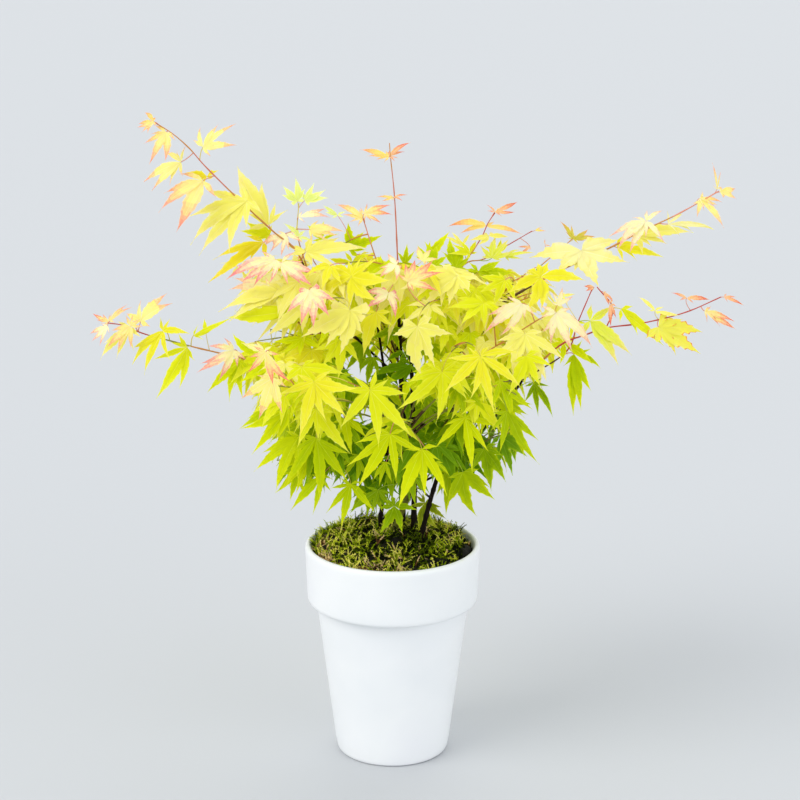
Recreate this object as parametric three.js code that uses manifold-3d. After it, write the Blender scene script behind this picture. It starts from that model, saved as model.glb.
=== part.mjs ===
// A young Japanese maple grown as a clump of thin stems in a tall round glazed pot with a banded rim.
// Millimetres, +Z up. The origin is the centre of the pot's flat underside, and -Y is the front.
import * as THREE from "three";
import { mergeVertices } from "three/addons/utils/BufferGeometryUtils.js";
import Module from "manifold-3d";

const wasm = await Module();
wasm.setup();

// ---------------------------------------------------------------- sizes

const GAP = 0.35; // clearance kept between touching pieces

const POT = {
  height: 213,
  rimRadius: 85, // outside, at the lip
  bandLowRadius: 83, // outside, at the foot of the rim band
  bandFoot: 155.6, // height of the step under the rim band
  bodyTopRadius: 74,
  bodyLowRadius: 55.6,
  footRadius: 53.5, // edge of the flat underside
  wall: 6,
  floor: 9,
  segments: 36,
};

const SOIL = { top: 190, segments: 24 };

const MOSS = {
  edge: 206, // height at the wall
  mound: 15, // extra height round the stems
  moundAt: [2, 12],
  moundSpread: 46,
  backRise: 4, // fuller towards the back of the rim
  rough: 2.6,
  rings: 4,
  segments: 20,
};

const STEM_SIDES = 8;
const STEM_RINGS = 7;
const BOUGH_SIDES = 6;
const BOUGH_RINGS = 4;
const ROOT_FLARE = { extra: 0.75, reach: 11, lobes: 3, lobeDepth: 0.16 };

// Each stem stands on the soil at foot and leans to top. bow is how far its middle swings aside.
const STEMS = [
  { name: "stem_centre", foot: [20, 17], top: [15, 8, 452], bow: [3, 1, 0], r: [3.1, 1.5] },
  { name: "stem_back", foot: [9, 31], top: [3, 27, 470], bow: [5, 2, 0], r: [2.6, 1.2] },
  { name: "stem_leaning", foot: [-10, 11], top: [60, -6, 350], bow: [-4, 3, 0], r: [3.3, 2.0] },
  { name: "stem_right", foot: [24, 4], top: [53, -24, 318], bow: [-3, 2, 0], r: [2.7, 1.8] },
  { name: "stem_left", foot: [-20, 23], top: [-14, 18, 424], bow: [12, 1, 0], r: [2.4, 1.1] },
];

// Each bough leaves its stem at a height and runs to end. lift raises its middle above the straight line.
const BOUGHS = [
  { name: "bough_upper_left", stem: "stem_centre", from: 366, end: [-62, 2, 448], lift: -4, r: [1.25, 0.9] },
  { name: "bough_left", stem: "stem_left", from: 300, end: [-76, -22, 372], lift: -6, r: [1.3, 0.9] },
  { name: "bough_lower_left", stem: "stem_left", from: 256, end: [-44, -18, 302], lift: -5, r: [1.2, 0.9] },
  { name: "bough_top", stem: "stem_back", from: 420, end: [34, 40, 476], lift: -4, r: [0.95, 0.7] },
  { name: "bough_upper_right", stem: "stem_leaning", from: 330, end: [88, 22, 438], lift: -6, r: [1.5, 1.0] },
  { name: "bough_right", stem: "stem_right", from: 304, end: [122, -40, 388], lift: -9, r: [1.6, 1.0] },
  { name: "bough_lower_right", stem: "stem_leaning", from: 270, end: [72, -4, 306], lift: -4, r: [1.3, 0.9] },
  { name: "bough_front", stem: "stem_centre", from: 300, end: [6, -74, 362], lift: -8, r: [1.3, 0.9] },
  { name: "bough_low_front", stem: "stem_right", from: 262, end: [26, -42, 286], lift: -3, r: [1.1, 0.8] },
  { name: "bough_back", stem: "stem_back", from: 330, end: [4, 92, 396], lift: -8, r: [1.3, 0.9] },
  { name: "bough_back_left", stem: "stem_left", from: 340, end: [-74, 82, 404], lift: -8, r: [1.3, 0.9] },
  { name: "bough_back_right", stem: "stem_back", from: 300, end: [80, 92, 398], lift: -10, r: [1.4, 0.9] },
  { name: "bough_low_back", stem: "stem_back", from: 262, end: [14, 62, 304], lift: -3, r: [1.1, 0.8] },
];

const SPRAY_SIDES = 6;
const SPRAY_RAGGED = 0.2; // how unevenly a shoot's leaves stand out, as a share of their reach
const PAD_RAGGED = 0.08; // how far the edge of a pad goes in and out, as a share of its half-size

// Pads of leaves. at is the centre and half the half-sizes; lean tips the pad about the Y axis and the X axis, in degrees.
const PADS = [
  { name: "foliage_top", at: [8, 8, 462], half: [78, 74, 54], lean: [0, 6], seed: 11, detail: 3 },
  { name: "foliage_upper_left", at: [-94, 0, 460], half: [68, 62, 52], lean: [12, 0], seed: 12, detail: 2 },
  { name: "foliage_upper_right", at: [110, 22, 456], half: [64, 62, 50], lean: [-12, 0], seed: 13, detail: 2 },
  { name: "foliage_left", at: [-114, -28, 388], half: [68, 58, 50], lean: [14, 8], seed: 14, detail: 2 },
  { name: "foliage_right", at: [148, -34, 396], half: [60, 54, 52], lean: [-10, 8], seed: 15, detail: 2 },
  { name: "foliage_lower_left", at: [-74, -24, 312], half: [58, 54, 54], lean: [26, 8], seed: 16, detail: 2 },
  { name: "foliage_lower_right", at: [92, -12, 318], half: [56, 56, 56], lean: [-26, 4], seed: 17, detail: 2 },
  { name: "foliage_front", at: [2, -98, 384], half: [88, 46, 62], lean: [0, 24], seed: 18, detail: 3 },
  { name: "foliage_low_front", at: [20, -56, 290], half: [60, 36, 42], lean: [0, 20], seed: 19, detail: 2 },
  { name: "foliage_back", at: [2, 118, 402], half: [74, 48, 60], lean: [0, -22], seed: 20, detail: 2 },
  { name: "foliage_back_left", at: [-102, 94, 410], half: [62, 54, 52], lean: [14, -14], seed: 21, detail: 2 },
  { name: "foliage_back_right", at: [108, 102, 406], half: [62, 54, 52], lean: [-14, -14], seed: 22, detail: 2 },
  { name: "foliage_low_back", at: [14, 78, 308], half: [62, 42, 46], lean: [0, -20], seed: 23, detail: 2 },
];

// Long young shoots that carry pairs of leaves past the dome. Widths are half-widths at the inner end and at the tip;
// drop is how far the leaves hang below the shoot, rise how far they stand above it, and waist how slim it is between pairs.
const SPRAYS = [
  { name: "shoot_upper_left", from: [-112, 0, 500], to: [-180, 0, 590], arch: 6, width: [40, 30], drop: [46, 38], rise: 20, pairs: 2, waist: 0.55 },
  { name: "shoot_upper_left_tip", from: [-172, 0, 582], to: [-231, 0, 626], arch: 4, width: [30, 16], drop: [38, 16], rise: 20, pairs: 2, waist: 0.5 },
  { name: "shoot_left", from: [-158, -38, 414], to: [-275, -46, 438], arch: 6, width: [44, 34], drop: [52, 36], rise: 20, pairs: 3, waist: 0.6 },
  { name: "shoot_right", from: [146, 20, 480], to: [226, 12, 514], arch: 6, width: [44, 36], drop: [38, 32], rise: 16, pairs: 2, waist: 0.6 },
  { name: "shoot_right_tip", from: [220, 12, 511], to: [319, 0, 558], arch: 6, width: [34, 20], drop: [30, 18], rise: 18, pairs: 3, waist: 0.5 },
  { name: "shoot_lower_right", from: [184, -50, 438], to: [322, -68, 466], arch: 6, width: [36, 18], drop: [44, 18], rise: 16, pairs: 3, waist: 0.5 },
  { name: "shoot_top", from: [2, 22, 506], to: [-3, 20, 602], arch: 0, width: [16, 26], drop: [14, 20], rise: 14, pairs: 2, waist: 0.25 },
  { name: "shoot_small_left", from: [-92, 20, 498], to: [-94, 22, 552], arch: 0, width: [18, 28], drop: [16, 18], rise: 14, pairs: 1, waist: 0.4 },
  { name: "shoot_small_centre", from: [-18, 20, 502], to: [-33, 22, 542], arch: 0, width: [16, 26], drop: [14, 16], rise: 12, pairs: 1, waist: 0.4 },
  { name: "shoot_back_upper", from: [62, 60, 486], to: [94, 104, 532], arch: 4, width: [24, 18], drop: [24, 14], rise: 10, pairs: 2, waist: 0.5 },
  { name: "shoot_back_right", from: [112, 96, 444], to: [152, 152, 508], arch: 8, width: [32, 24], drop: [32, 20], rise: 14, pairs: 2, waist: 0.55 },
  { name: "shoot_back_left", from: [-92, 108, 446], to: [-138, 184, 502], arch: 8, width: [34, 24], drop: [32, 20], rise: 14, pairs: 2, waist: 0.55 },
  { name: "shoot_back", from: [8, 146, 436], to: [22, 218, 470], arch: 8, width: [36, 26], drop: [36, 24], rise: 14, pairs: 2, waist: 0.55 },
  { name: "shoot_front_left", from: [-66, -96, 396], to: [-104, -174, 412], arch: 8, width: [36, 28], drop: [40, 28], rise: 14, pairs: 2, waist: 0.55 },
  { name: "shoot_front_right", from: [78, -92, 392], to: [112, -162, 402], arch: 8, width: [36, 28], drop: [40, 28], rise: 14, pairs: 2, waist: 0.55 },
];

// ---------------------------------------------------------------- materials

const glaze = new THREE.MeshStandardMaterial({ color: 0xf4f6f7, roughness: 0.35, metalness: 0 });
const compost = new THREE.MeshStandardMaterial({ color: 0x3a2b1e, roughness: 1, metalness: 0 });
const mossGreen = new THREE.MeshStandardMaterial({ color: 0x6f7a24, roughness: 1, metalness: 0 });
const bark = new THREE.MeshStandardMaterial({ color: 0x2c221b, roughness: 0.9, metalness: 0 });
const barkGreen = new THREE.MeshStandardMaterial({ color: 0x5c6128, roughness: 0.85, metalness: 0 });
const leafLemon = new THREE.MeshStandardMaterial({ color: 0xe9ee45, roughness: 0.7, metalness: 0 });
const leafLime = new THREE.MeshStandardMaterial({ color: 0xb5d624, roughness: 0.7, metalness: 0 });
const leafYoung = new THREE.MeshStandardMaterial({ color: 0xf4c978, roughness: 0.7, metalness: 0 });

// ---------------------------------------------------------------- solids

function toSolid(geometry) {
  const g = geometry.index ? geometry.toNonIndexed() : geometry.clone();
  const bare = new THREE.BufferGeometry().setAttribute("position", g.getAttribute("position"));
  const merged = mergeVertices(bare, 1e-3);
  return new wasm.Manifold(
    new wasm.Mesh({
      numProp: 3,
      vertProperties: new Float32Array(merged.attributes.position.array),
      triVerts: new Uint32Array(merged.index.array),
    }),
  );
}

function toGeometry(solid) {
  const m = solid.getMesh();
  const n = m.numProp;
  const position = new Float32Array(m.numVert * 3);
  for (let i = 0; i < m.numVert; i++) position.set(m.vertProperties.subarray(i * n, i * n + 3), i * 3);
  return new THREE.BufferGeometry()
    .setAttribute("position", new THREE.BufferAttribute(position, 3))
    .setIndex(new THREE.BufferAttribute(new Uint32Array(m.triVerts), 1));
}

// The largest of the bodies that a cut leaves, so that no crumb stays behind.
function largest(solid) {
  return solid.decompose().sort((a, b) => b.volume() - a.volume())[0];
}

function random(seed) {
  let s = (seed * 2654435761) >>> 0;
  return () => {
    s = (s + 0x6d2b79f5) >>> 0;
    let t = Math.imul(s ^ (s >>> 15), 1 | s);
    t = (t + Math.imul(t ^ (t >>> 7), 61 | t)) ^ t;
    return ((t ^ (t >>> 14)) >>> 0) / 4294967296;
  };
}

// A closed skin over rings of equal length, each a list of Vector3, with a point or a flat fan at each end.
function skin(rings) {
  const sides = rings[0].length;
  const position = [];
  const index = [];
  rings.forEach((ring) => ring.forEach((p) => position.push(p.x, p.y, p.z)));
  for (let i = 0; i + 1 < rings.length; i++)
    for (let j = 0; j < sides; j++) {
      const a = i * sides + j;
      const b = i * sides + ((j + 1) % sides);
      index.push(a, b, b + sides, a, b + sides, a + sides);
    }
  const cap = (ring, at, flip) => {
    const c = new THREE.Vector3();
    ring.forEach((p) => c.addScaledVector(p, 1 / sides));
    const centre = position.length / 3;
    position.push(c.x, c.y, c.z);
    for (let j = 0; j < sides; j++) {
      const a = at + j;
      const b = at + ((j + 1) % sides);
      index.push(centre, flip ? a : b, flip ? b : a);
    }
  };
  cap(rings[0], 0, false);
  cap(rings[rings.length - 1], (rings.length - 1) * sides, true);
  return new THREE.BufferGeometry()
    .setAttribute("position", new THREE.Float32BufferAttribute(position, 3))
    .setIndex(index);
}

// Rings square to a curve. radiusAt gives the radius for the share of the length and the angle.
function sweep(curve, steps, sides, radiusAt, flatStart) {
  const rings = [];
  let side = new THREE.Vector3(1, 0, 0);
  for (let i = 0; i <= steps; i++) {
    const t = i / steps;
    const at = curve.getPoint(t);
    const along = i === 0 && flatStart ? new THREE.Vector3(0, 0, 1) : curve.getTangent(t);
    side = side.clone().addScaledVector(along, -side.dot(along)).normalize();
    const up = along.clone().cross(side);
    const ring = [];
    for (let j = 0; j < sides; j++) {
      const a = (2 * Math.PI * j) / sides;
      const r = radiusAt(t, a);
      ring.push(
        at
          .clone()
          .addScaledVector(side, r * Math.cos(a))
          .addScaledVector(up, r * Math.sin(a)),
      );
    }
    rings.push(ring);
  }
  return rings;
}

// ---------------------------------------------------------------- pot, soil and moss

function innerRadius(z) {
  const corners = [
    [POT.floor, POT.bodyLowRadius - POT.wall],
    [POT.bandFoot - 8, POT.bodyTopRadius - POT.wall],
    [POT.bandFoot + 8, POT.bandLowRadius - POT.wall - 1],
    [POT.height - 3, POT.rimRadius - POT.wall],
    [POT.height, POT.rimRadius - POT.wall + 0.6],
  ];
  if (z <= corners[0][0]) return corners[0][1];
  for (let i = 0; i + 1 < corners.length; i++) {
    const [z0, r0] = corners[i];
    const [z1, r1] = corners[i + 1];
    if (z <= z1) return r0 + ((r1 - r0) * (z - z0)) / (z1 - z0);
  }
  return corners[corners.length - 1][1];
}

function potProfile() {
  const p = (r, z) => new THREE.Vector2(r, z);
  const h = POT.height;
  return [
    p(0, 0),
    p(POT.footRadius, 0),
    p(POT.footRadius + 1.6, 1.4),
    p(POT.bodyLowRadius, 5),
    p(POT.bodyTopRadius, POT.bandFoot - 2.5),
    p(POT.bodyTopRadius + 1.6, POT.bandFoot),
    p(POT.bandLowRadius - 1.8, POT.bandFoot + 0.6),
    p(POT.bandLowRadius, POT.bandFoot + 4),
    p(POT.rimRadius - 0.2, h - 8),
    p(POT.rimRadius, h - 4),
    p(POT.rimRadius - 1.4, h - 1),
    p(POT.rimRadius - 3, h),
    p(innerRadius(h) + 0.8, h - 0.8),
    p(innerRadius(h - 3), h - 3),
    p(innerRadius(POT.bandFoot + 8), POT.bandFoot + 8),
    p(innerRadius(POT.bandFoot - 8), POT.bandFoot - 8),
    p(innerRadius(POT.floor), POT.floor),
    p(0, POT.floor),
  ];
}

// LatheGeometry turns about Y; the part stands on Z.
function turned(profile, segments) {
  return new THREE.LatheGeometry(profile, segments).rotateX(Math.PI / 2);
}

function soilProfile() {
  const p = (r, z) => new THREE.Vector2(r, z);
  const cosine = Math.cos(Math.PI / POT.segments); // keeps the plug inside the flats of the pot's wall
  const marks = [POT.floor + GAP, POT.bandFoot - 8, POT.bandFoot + 8, SOIL.top];
  return [p(0, marks[0]), ...marks.map((z) => p(innerRadius(z) * cosine - GAP, z)), p(0, SOIL.top)];
}

function mossTop(x, y, noise) {
  const dx = x - MOSS.moundAt[0];
  const dy = y - MOSS.moundAt[1];
  const mound = MOSS.mound * Math.exp(-(dx * dx + dy * dy) / (MOSS.moundSpread * MOSS.moundSpread));
  return MOSS.edge + mound + (MOSS.backRise * y) / POT.rimRadius + MOSS.rough * noise;
}

function mossGeometry() {
  const next = random(5);
  const waves = [];
  for (let i = 0; i < 5; i++) waves.push([(next() - 0.5) / 9, (next() - 0.5) / 9, next() * 6.3]);
  const noise = (x, y) => waves.reduce((s, [a, b, c]) => s + Math.sin(a * x + b * y + c), 0) / 2.2;
  const reach = innerRadius(MOSS.edge) * Math.cos(Math.PI / POT.segments) - GAP;
  const profile = [new THREE.Vector2(0, SOIL.top + GAP), new THREE.Vector2(reach - 1.2, SOIL.top + GAP)];
  for (let i = MOSS.rings; i >= 0; i--) profile.push(new THREE.Vector2((reach * i) / MOSS.rings, MOSS.edge));
  const g = turned(profile, MOSS.segments);
  const at = g.attributes.position;
  for (let i = 0; i < at.count; i++)
    if (at.getZ(i) > SOIL.top + 1) at.setZ(i, mossTop(at.getX(i), at.getY(i), noise(at.getX(i), at.getY(i))));
  return g;
}

// ---------------------------------------------------------------- stems and boughs

function stemCurve(stem) {
  const a = new THREE.Vector3(stem.foot[0], stem.foot[1], SOIL.top + GAP);
  const b = new THREE.Vector3(...stem.top);
  const c = a
    .clone()
    .lerp(b, 0.45)
    .add(new THREE.Vector3(...stem.bow).multiplyScalar(2));
  return new THREE.QuadraticBezierCurve3(a, c, b);
}

function stemGeometry(stem, extra = 0) {
  const curve = stemCurve(stem);
  const length = curve.getLength();
  const steps = STEM_RINGS;
  // Rings crowd towards the foot, where the flare is.
  const bunched = { getPoint: (t) => curve.getPoint(t ** 1.6), getTangent: (t) => curve.getTangent(t ** 1.6) };
  const rings = sweep(
    bunched,
    steps,
    STEM_SIDES,
    (t, angle) => {
      const share = t ** 1.6;
      const flare = ROOT_FLARE.extra * Math.exp((-share * length) / ROOT_FLARE.reach);
      const r = stem.r[0] + (stem.r[1] - stem.r[0]) * share;
      return r * (1 + flare * (1 + ROOT_FLARE.lobeDepth * Math.cos(ROOT_FLARE.lobes * angle))) + extra;
    },
    true,
  );
  return skin(rings);
}

function pointAtHeight(curve, z) {
  let low = 0;
  let high = 1;
  for (let i = 0; i < 30; i++) {
    const mid = (low + high) / 2;
    if (curve.getPoint(mid).z < z) low = mid;
    else high = mid;
  }
  return curve.getPoint(low);
}

function boughGeometry(bough, extra = 0) {
  const stem = STEMS.find((s) => s.name === bough.stem);
  const a = pointAtHeight(stemCurve(stem), bough.from);
  const b = new THREE.Vector3(...bough.end);
  if (extra) b.addScaledVector(b.clone().sub(a).normalize(), extra);
  const c = a.clone().lerp(b, 0.5).add(new THREE.Vector3(0, 0, bough.lift * 2));
  const curve = new THREE.QuadraticBezierCurve3(a, c, b);
  return skin(
    sweep(curve, BOUGH_RINGS, BOUGH_SIDES, (t) => bough.r[0] + (bough.r[1] - bough.r[0]) * t + extra, false),
  );
}

// ---------------------------------------------------------------- foliage

// A leafy pad: a ball of triangles pulled out to its half-sizes, with lobes, a ragged edge and a flatter underside.
function padGeometry(pad) {
  const next = random(pad.seed);
  const lobes = [];
  for (let i = 0; i < 9; i++) {
    const turn = next() * 2 * Math.PI;
    const rise = next() * 1.5 - 0.6;
    const k = Math.sqrt(Math.max(0.05, 1 - rise * rise * 0.6));
    lobes.push({
      d: new THREE.Vector3(Math.cos(turn) * k, Math.sin(turn) * k, rise).normalize(),
      size: 0.1 + 0.14 * next(),
      tight: 4 + 8 * next(),
    });
  }
  const phase = next() * 6.3;
  const g = new THREE.IcosahedronGeometry(1, pad.detail);
  const at = g.attributes.position;
  const d = new THREE.Vector3();
  const turn = new THREE.Euler(
    THREE.MathUtils.degToRad(pad.lean[1]),
    THREE.MathUtils.degToRad(pad.lean[0]),
    0,
  );
  for (let i = 0; i < at.count; i++) {
    d.fromBufferAttribute(at, i).normalize();
    let r = 0.86;
    for (const l of lobes) r += l.size * Math.exp(-l.tight * (1 - d.dot(l.d)));
    const round = Math.atan2(d.y, d.x);
    const edge = 1 - d.z * d.z;
    r += PAD_RAGGED * edge * Math.sin(7 * round + phase) + 0.6 * PAD_RAGGED * Math.sin(11 * round + 9 * d.z + phase);
    r = Math.min(r, 1.08);
    const low = d.z < 0 ? 0.82 : 1;
    d.set(d.x * r * pad.half[0], d.y * r * pad.half[1], d.z * r * pad.half[2] * low).applyEuler(turn);
    at.setXYZ(i, d.x + pad.at[0], d.y + pad.at[1], d.z + pad.at[2]);
  }
  return g;
}

// A leafy shoot: rings across the shoot that swell at each pair of leaves and hang below it.
function sprayGeometry(spray) {
  const a = new THREE.Vector3(...spray.from);
  const b = new THREE.Vector3(...spray.to);
  const mid = a.clone().lerp(b, 0.5).add(new THREE.Vector3(0, 0, spray.arch * 2));
  const curve = new THREE.QuadraticBezierCurve3(a, mid, b);
  const steps = Math.max(4, 3 * spray.pairs + 1);
  const next = random(spray.name.length * 31 + Math.round(Math.abs(spray.to[0])) + Math.round(spray.to[2]));
  const sides = SPRAY_SIDES;
  const along = b.clone().sub(a);
  const upright = Math.abs(along.z) > Math.hypot(along.x, along.y) * 2;
  const across = upright
    ? new THREE.Vector3(1, 0, 0)
    : new THREE.Vector3(-along.y, along.x, 0).normalize();
  const rings = [];
  for (let i = 0; i <= steps; i++) {
    const t = i / steps;
    const at = curve.getPoint(t);
    const tangent = curve.getTangent(t);
    const up = upright
      ? new THREE.Vector3(0, 1, 0)
      : across.clone().cross(tangent).multiplyScalar(-1);
    if (!upright && up.z < 0) up.multiplyScalar(-1);
    const swell =
      spray.waist + (1 - spray.waist) * Math.sin(Math.PI * (spray.pairs * t - 0.12)) ** 2 + 0.12 * (next() - 0.5);
    const end = Math.sqrt(Math.max(0.06, 1 - (2 * t - 1) ** 6));
    const width = (spray.width[0] + (spray.width[1] - spray.width[0]) * t) * swell * end;
    const drop = (spray.drop[0] + (spray.drop[1] - spray.drop[0]) * t) * swell * end;
    const ring = [];
    for (let j = 0; j < sides; j++) {
      const angle = (2 * Math.PI * (j + 0.5)) / sides;
      const s = Math.sin(angle);
      const uneven = 1 - SPRAY_RAGGED * next();
      const high = (s > 0 ? spray.rise * swell * end : drop) * s * uneven;
      ring.push(
        at
          .clone()
          .addScaledVector(across, width * Math.cos(angle) * uneven * (s < 0 ? 1 : 0.9))
          .addScaledVector(up, high),
      );
    }
    rings.push(ring);
  }
  const g = skin(rings);
  return g;
}

function facingOut(geometry) {
  const solid = toSolid(geometry);
  if (solid.volume() > 0) return solid;
  const flipped = geometry.clone();
  const index = Array.from(flipped.index.array);
  for (let i = 0; i < index.length; i += 3) [index[i + 1], index[i + 2]] = [index[i + 2], index[i + 1]];
  flipped.setIndex(index);
  return toSolid(flipped);
}

// Everything on the far side of a plane, as a large box.
function halfSpace(point, normal) {
  const size = 1200;
  const box = new THREE.BoxGeometry(size, size, size);
  box.translate(0, 0, size / 2);
  const turn = new THREE.Quaternion().setFromUnitVectors(new THREE.Vector3(0, 0, 1), normal);
  box.applyQuaternion(turn).translate(point.x, point.y, point.z);
  return toSolid(box);
}

// Where two masses meet, each is cut back to a plane between them.
function partMasses(masses) {
  for (let i = 0; i < masses.length; i++)
    for (let j = i + 1; j < masses.length; j++) {
      const common = masses[i].solid.intersect(masses[j].solid);
      if (common.volume() < 0.01) continue;
      const box = common.boundingBox();
      const centre = new THREE.Vector3(
        (box.min[0] + box.max[0]) / 2,
        (box.min[1] + box.max[1]) / 2,
        (box.min[2] + box.max[2]) / 2,
      );
      const normal = masses[j].centre.clone().sub(masses[i].centre);
      if (!masses[j].spray) normal.z *= 2;
      normal.normalize();
      const shift = normal.clone().multiplyScalar(GAP / 2);
      masses[i].solid = largest(masses[i].solid.subtract(halfSpace(centre.clone().sub(shift), normal)));
      masses[j].solid = largest(
        masses[j].solid.subtract(halfSpace(centre.clone().add(shift), normal.clone().negate())),
      );
    }
}

// ---------------------------------------------------------------- assembly

const plant = new THREE.Group();

function add(name, geometry, material) {
  const mesh = new THREE.Mesh(geometry, material);
  mesh.name = name;
  plant.add(mesh);
}

const stems = STEMS.map((stem) => ({
  ...stem,
  solid: facingOut(stemGeometry(stem)),
  room: facingOut(stemGeometry(stem, GAP)),
}));
// Stems that touch are parted, the later one giving way.
stems.forEach((s, i) => {
  stems.slice(0, i).forEach((t) => {
    s.solid = largest(s.solid.subtract(t.room));
  });
});

const boughs = BOUGHS.map((bough) => ({
  ...bough,
  solid: facingOut(boughGeometry(bough)),
  room: facingOut(boughGeometry(bough, GAP)),
}));
boughs.forEach((b, i) => {
  stems.forEach((s) => {
    b.solid = largest(b.solid.subtract(s.room));
  });
  boughs.slice(0, i).forEach((t) => {
    b.solid = largest(b.solid.subtract(t.room));
  });
});

const masses = [
  ...PADS.map((pad) => ({
    name: pad.name,
    centre: new THREE.Vector3(...pad.at),
    solid: facingOut(padGeometry(pad)),
    material: pad.at[2] > 440 ? leafLemon : leafLime,
    spray: false,
  })),
  ...SPRAYS.map((spray) => ({
    name: spray.name,
    centre: new THREE.Vector3(...spray.from).lerp(new THREE.Vector3(...spray.to), 0.6),
    solid: facingOut(sprayGeometry(spray)),
    material: leafYoung,
    spray: true,
  })),
];
partMasses(masses);
for (const m of masses)
  for (const limb of [...stems, ...boughs]) m.solid = largest(m.solid.subtract(limb.room));

add("pot", toGeometry(facingOut(turned(potProfile(), POT.segments))), glaze);
add("soil", toGeometry(facingOut(turned(soilProfile(), SOIL.segments))), compost);
let moss = facingOut(mossGeometry());
for (const s of stems) moss = largest(moss.subtract(s.room));
add("moss", toGeometry(moss), mossGreen);
for (const s of stems) add(s.name, toGeometry(s.solid), s.name === "stem_leaning" ? barkGreen : bark);
for (const b of boughs) add(b.name, toGeometry(b.solid), bark);
for (const m of masses) add(m.name, toGeometry(m.solid), m.material);

export default plant;
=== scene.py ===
"""Looks of a potted young Japanese maple: a clump of thin stems with lemon, lime and pink-edged leaves,
in a tall white glazed pot with a moss top. Lengths in this file are millimetres until a mesh is made."""

import math

import bpy
import numpy as np
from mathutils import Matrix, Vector


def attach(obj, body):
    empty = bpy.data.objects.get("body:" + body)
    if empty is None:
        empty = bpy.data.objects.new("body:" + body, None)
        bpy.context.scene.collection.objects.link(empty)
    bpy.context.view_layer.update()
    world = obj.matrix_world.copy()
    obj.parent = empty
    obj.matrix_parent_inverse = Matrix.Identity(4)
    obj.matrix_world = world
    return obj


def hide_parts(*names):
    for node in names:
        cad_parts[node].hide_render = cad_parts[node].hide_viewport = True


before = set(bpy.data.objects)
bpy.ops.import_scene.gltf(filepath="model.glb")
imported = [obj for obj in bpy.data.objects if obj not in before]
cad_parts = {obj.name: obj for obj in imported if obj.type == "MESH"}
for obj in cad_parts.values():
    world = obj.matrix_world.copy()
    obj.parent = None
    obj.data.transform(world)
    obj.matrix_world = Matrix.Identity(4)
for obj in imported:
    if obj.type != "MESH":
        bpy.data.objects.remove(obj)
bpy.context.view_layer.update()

MM = 0.001
rng = np.random.default_rng(41)
PI = math.pi

# ------------------------------------------------------------------ camera

FOCAL_PX = 2101.0  # for a picture 800 wide
PITCH = math.radians(15.74)
CAM_BACK = 1931.0
CAM_UP = 901.0
AXIS_U = 392.4  # where the pot's axis falls in the picture


def at(u, v, y):
    """The point in the plane at depth y that the picture shows at (u, v)."""
    t = (v - 400.0) / FOCAL_PX
    reach = y + CAM_BACK
    down = (-t * reach * math.cos(PITCH) - reach * math.sin(PITCH)) / (
        math.cos(PITCH) - t * math.sin(PITCH)
    )
    depth = reach * math.cos(PITCH) - down * math.sin(PITCH)
    return np.array([(u - AXIS_U) * depth / FOCAL_PX, y, down + CAM_UP])


def seen_at(p):
    """Where the picture shows the point p."""
    reach, down = p[1] + CAM_BACK, p[2] - CAM_UP
    depth = reach * math.cos(PITCH) - down * math.sin(PITCH)
    return (
        AXIS_U + FOCAL_PX * p[0] / depth,
        400.0 - FOCAL_PX * (reach * math.sin(PITCH) + down * math.cos(PITCH)) / depth,
    )


cam_data = bpy.data.cameras.new("camera")
cam_data.sensor_width = 36.0
cam_data.lens = FOCAL_PX / 800.0 * 36.0
cam_data.shift_x = (400.0 - AXIS_U) / 800.0
cam_data.clip_end = 50.0
cam = bpy.data.objects.new("camera", cam_data)
cam.location = (0.0, -CAM_BACK * MM, CAM_UP * MM)
cam.rotation_euler = (PI / 2 - PITCH, 0.0, 0.0)
bpy.context.scene.collection.objects.link(cam)
bpy.context.scene.camera = cam
bpy.context.scene.view_settings.view_transform = "Standard"
bpy.context.scene.view_settings.look = "None"

# ------------------------------------------------------------------ light and floor


def soft_sun(name, place, power, spread, colour):
    """An even soft light from the direction of place, like a large overhead diffuser."""
    data = bpy.data.lights.new(name, "SUN")
    data.energy = power
    data.angle = math.radians(spread)
    data.color = colour
    lamp = bpy.data.objects.new(name, data)
    lamp.location = place
    lamp.rotation_euler = (-Vector(place)).to_track_quat("-Z", "Y").to_euler()
    bpy.context.scene.collection.objects.link(lamp)


soft_sun("key_light", (-1.9, -1.2, 1.9), 1.23, 40, (1.0, 0.985, 0.95))
soft_sun("fill_light", (2.2, -1.8, 0.55), 0.74, 60, (0.95, 0.97, 1.0))
soft_sun("back_light", (0.4, 1.8, 1.9), 0.55, 50, (1.0, 1.0, 0.97))

world = bpy.data.worlds.new("studio")
world.use_nodes = True
world.node_tree.nodes["Background"].inputs["Color"].default_value = (0.95, 0.975, 1.0, 1)
world.node_tree.nodes["Background"].inputs["Strength"].default_value = 0.90
bpy.context.scene.world = world

# ------------------------------------------------------------------ materials


def linear(code):
    """A hex colour as linear red, green and blue."""
    c = [int(code[i : i + 2], 16) / 255.0 for i in (1, 3, 5)]
    return [x / 12.92 if x <= 0.04045 else ((x + 0.055) / 1.055) ** 2.4 for x in c]


def material(name):
    m = bpy.data.materials.new(name)
    m.use_nodes = True
    return m, m.node_tree, m.node_tree.nodes["Principled BSDF"]


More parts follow.
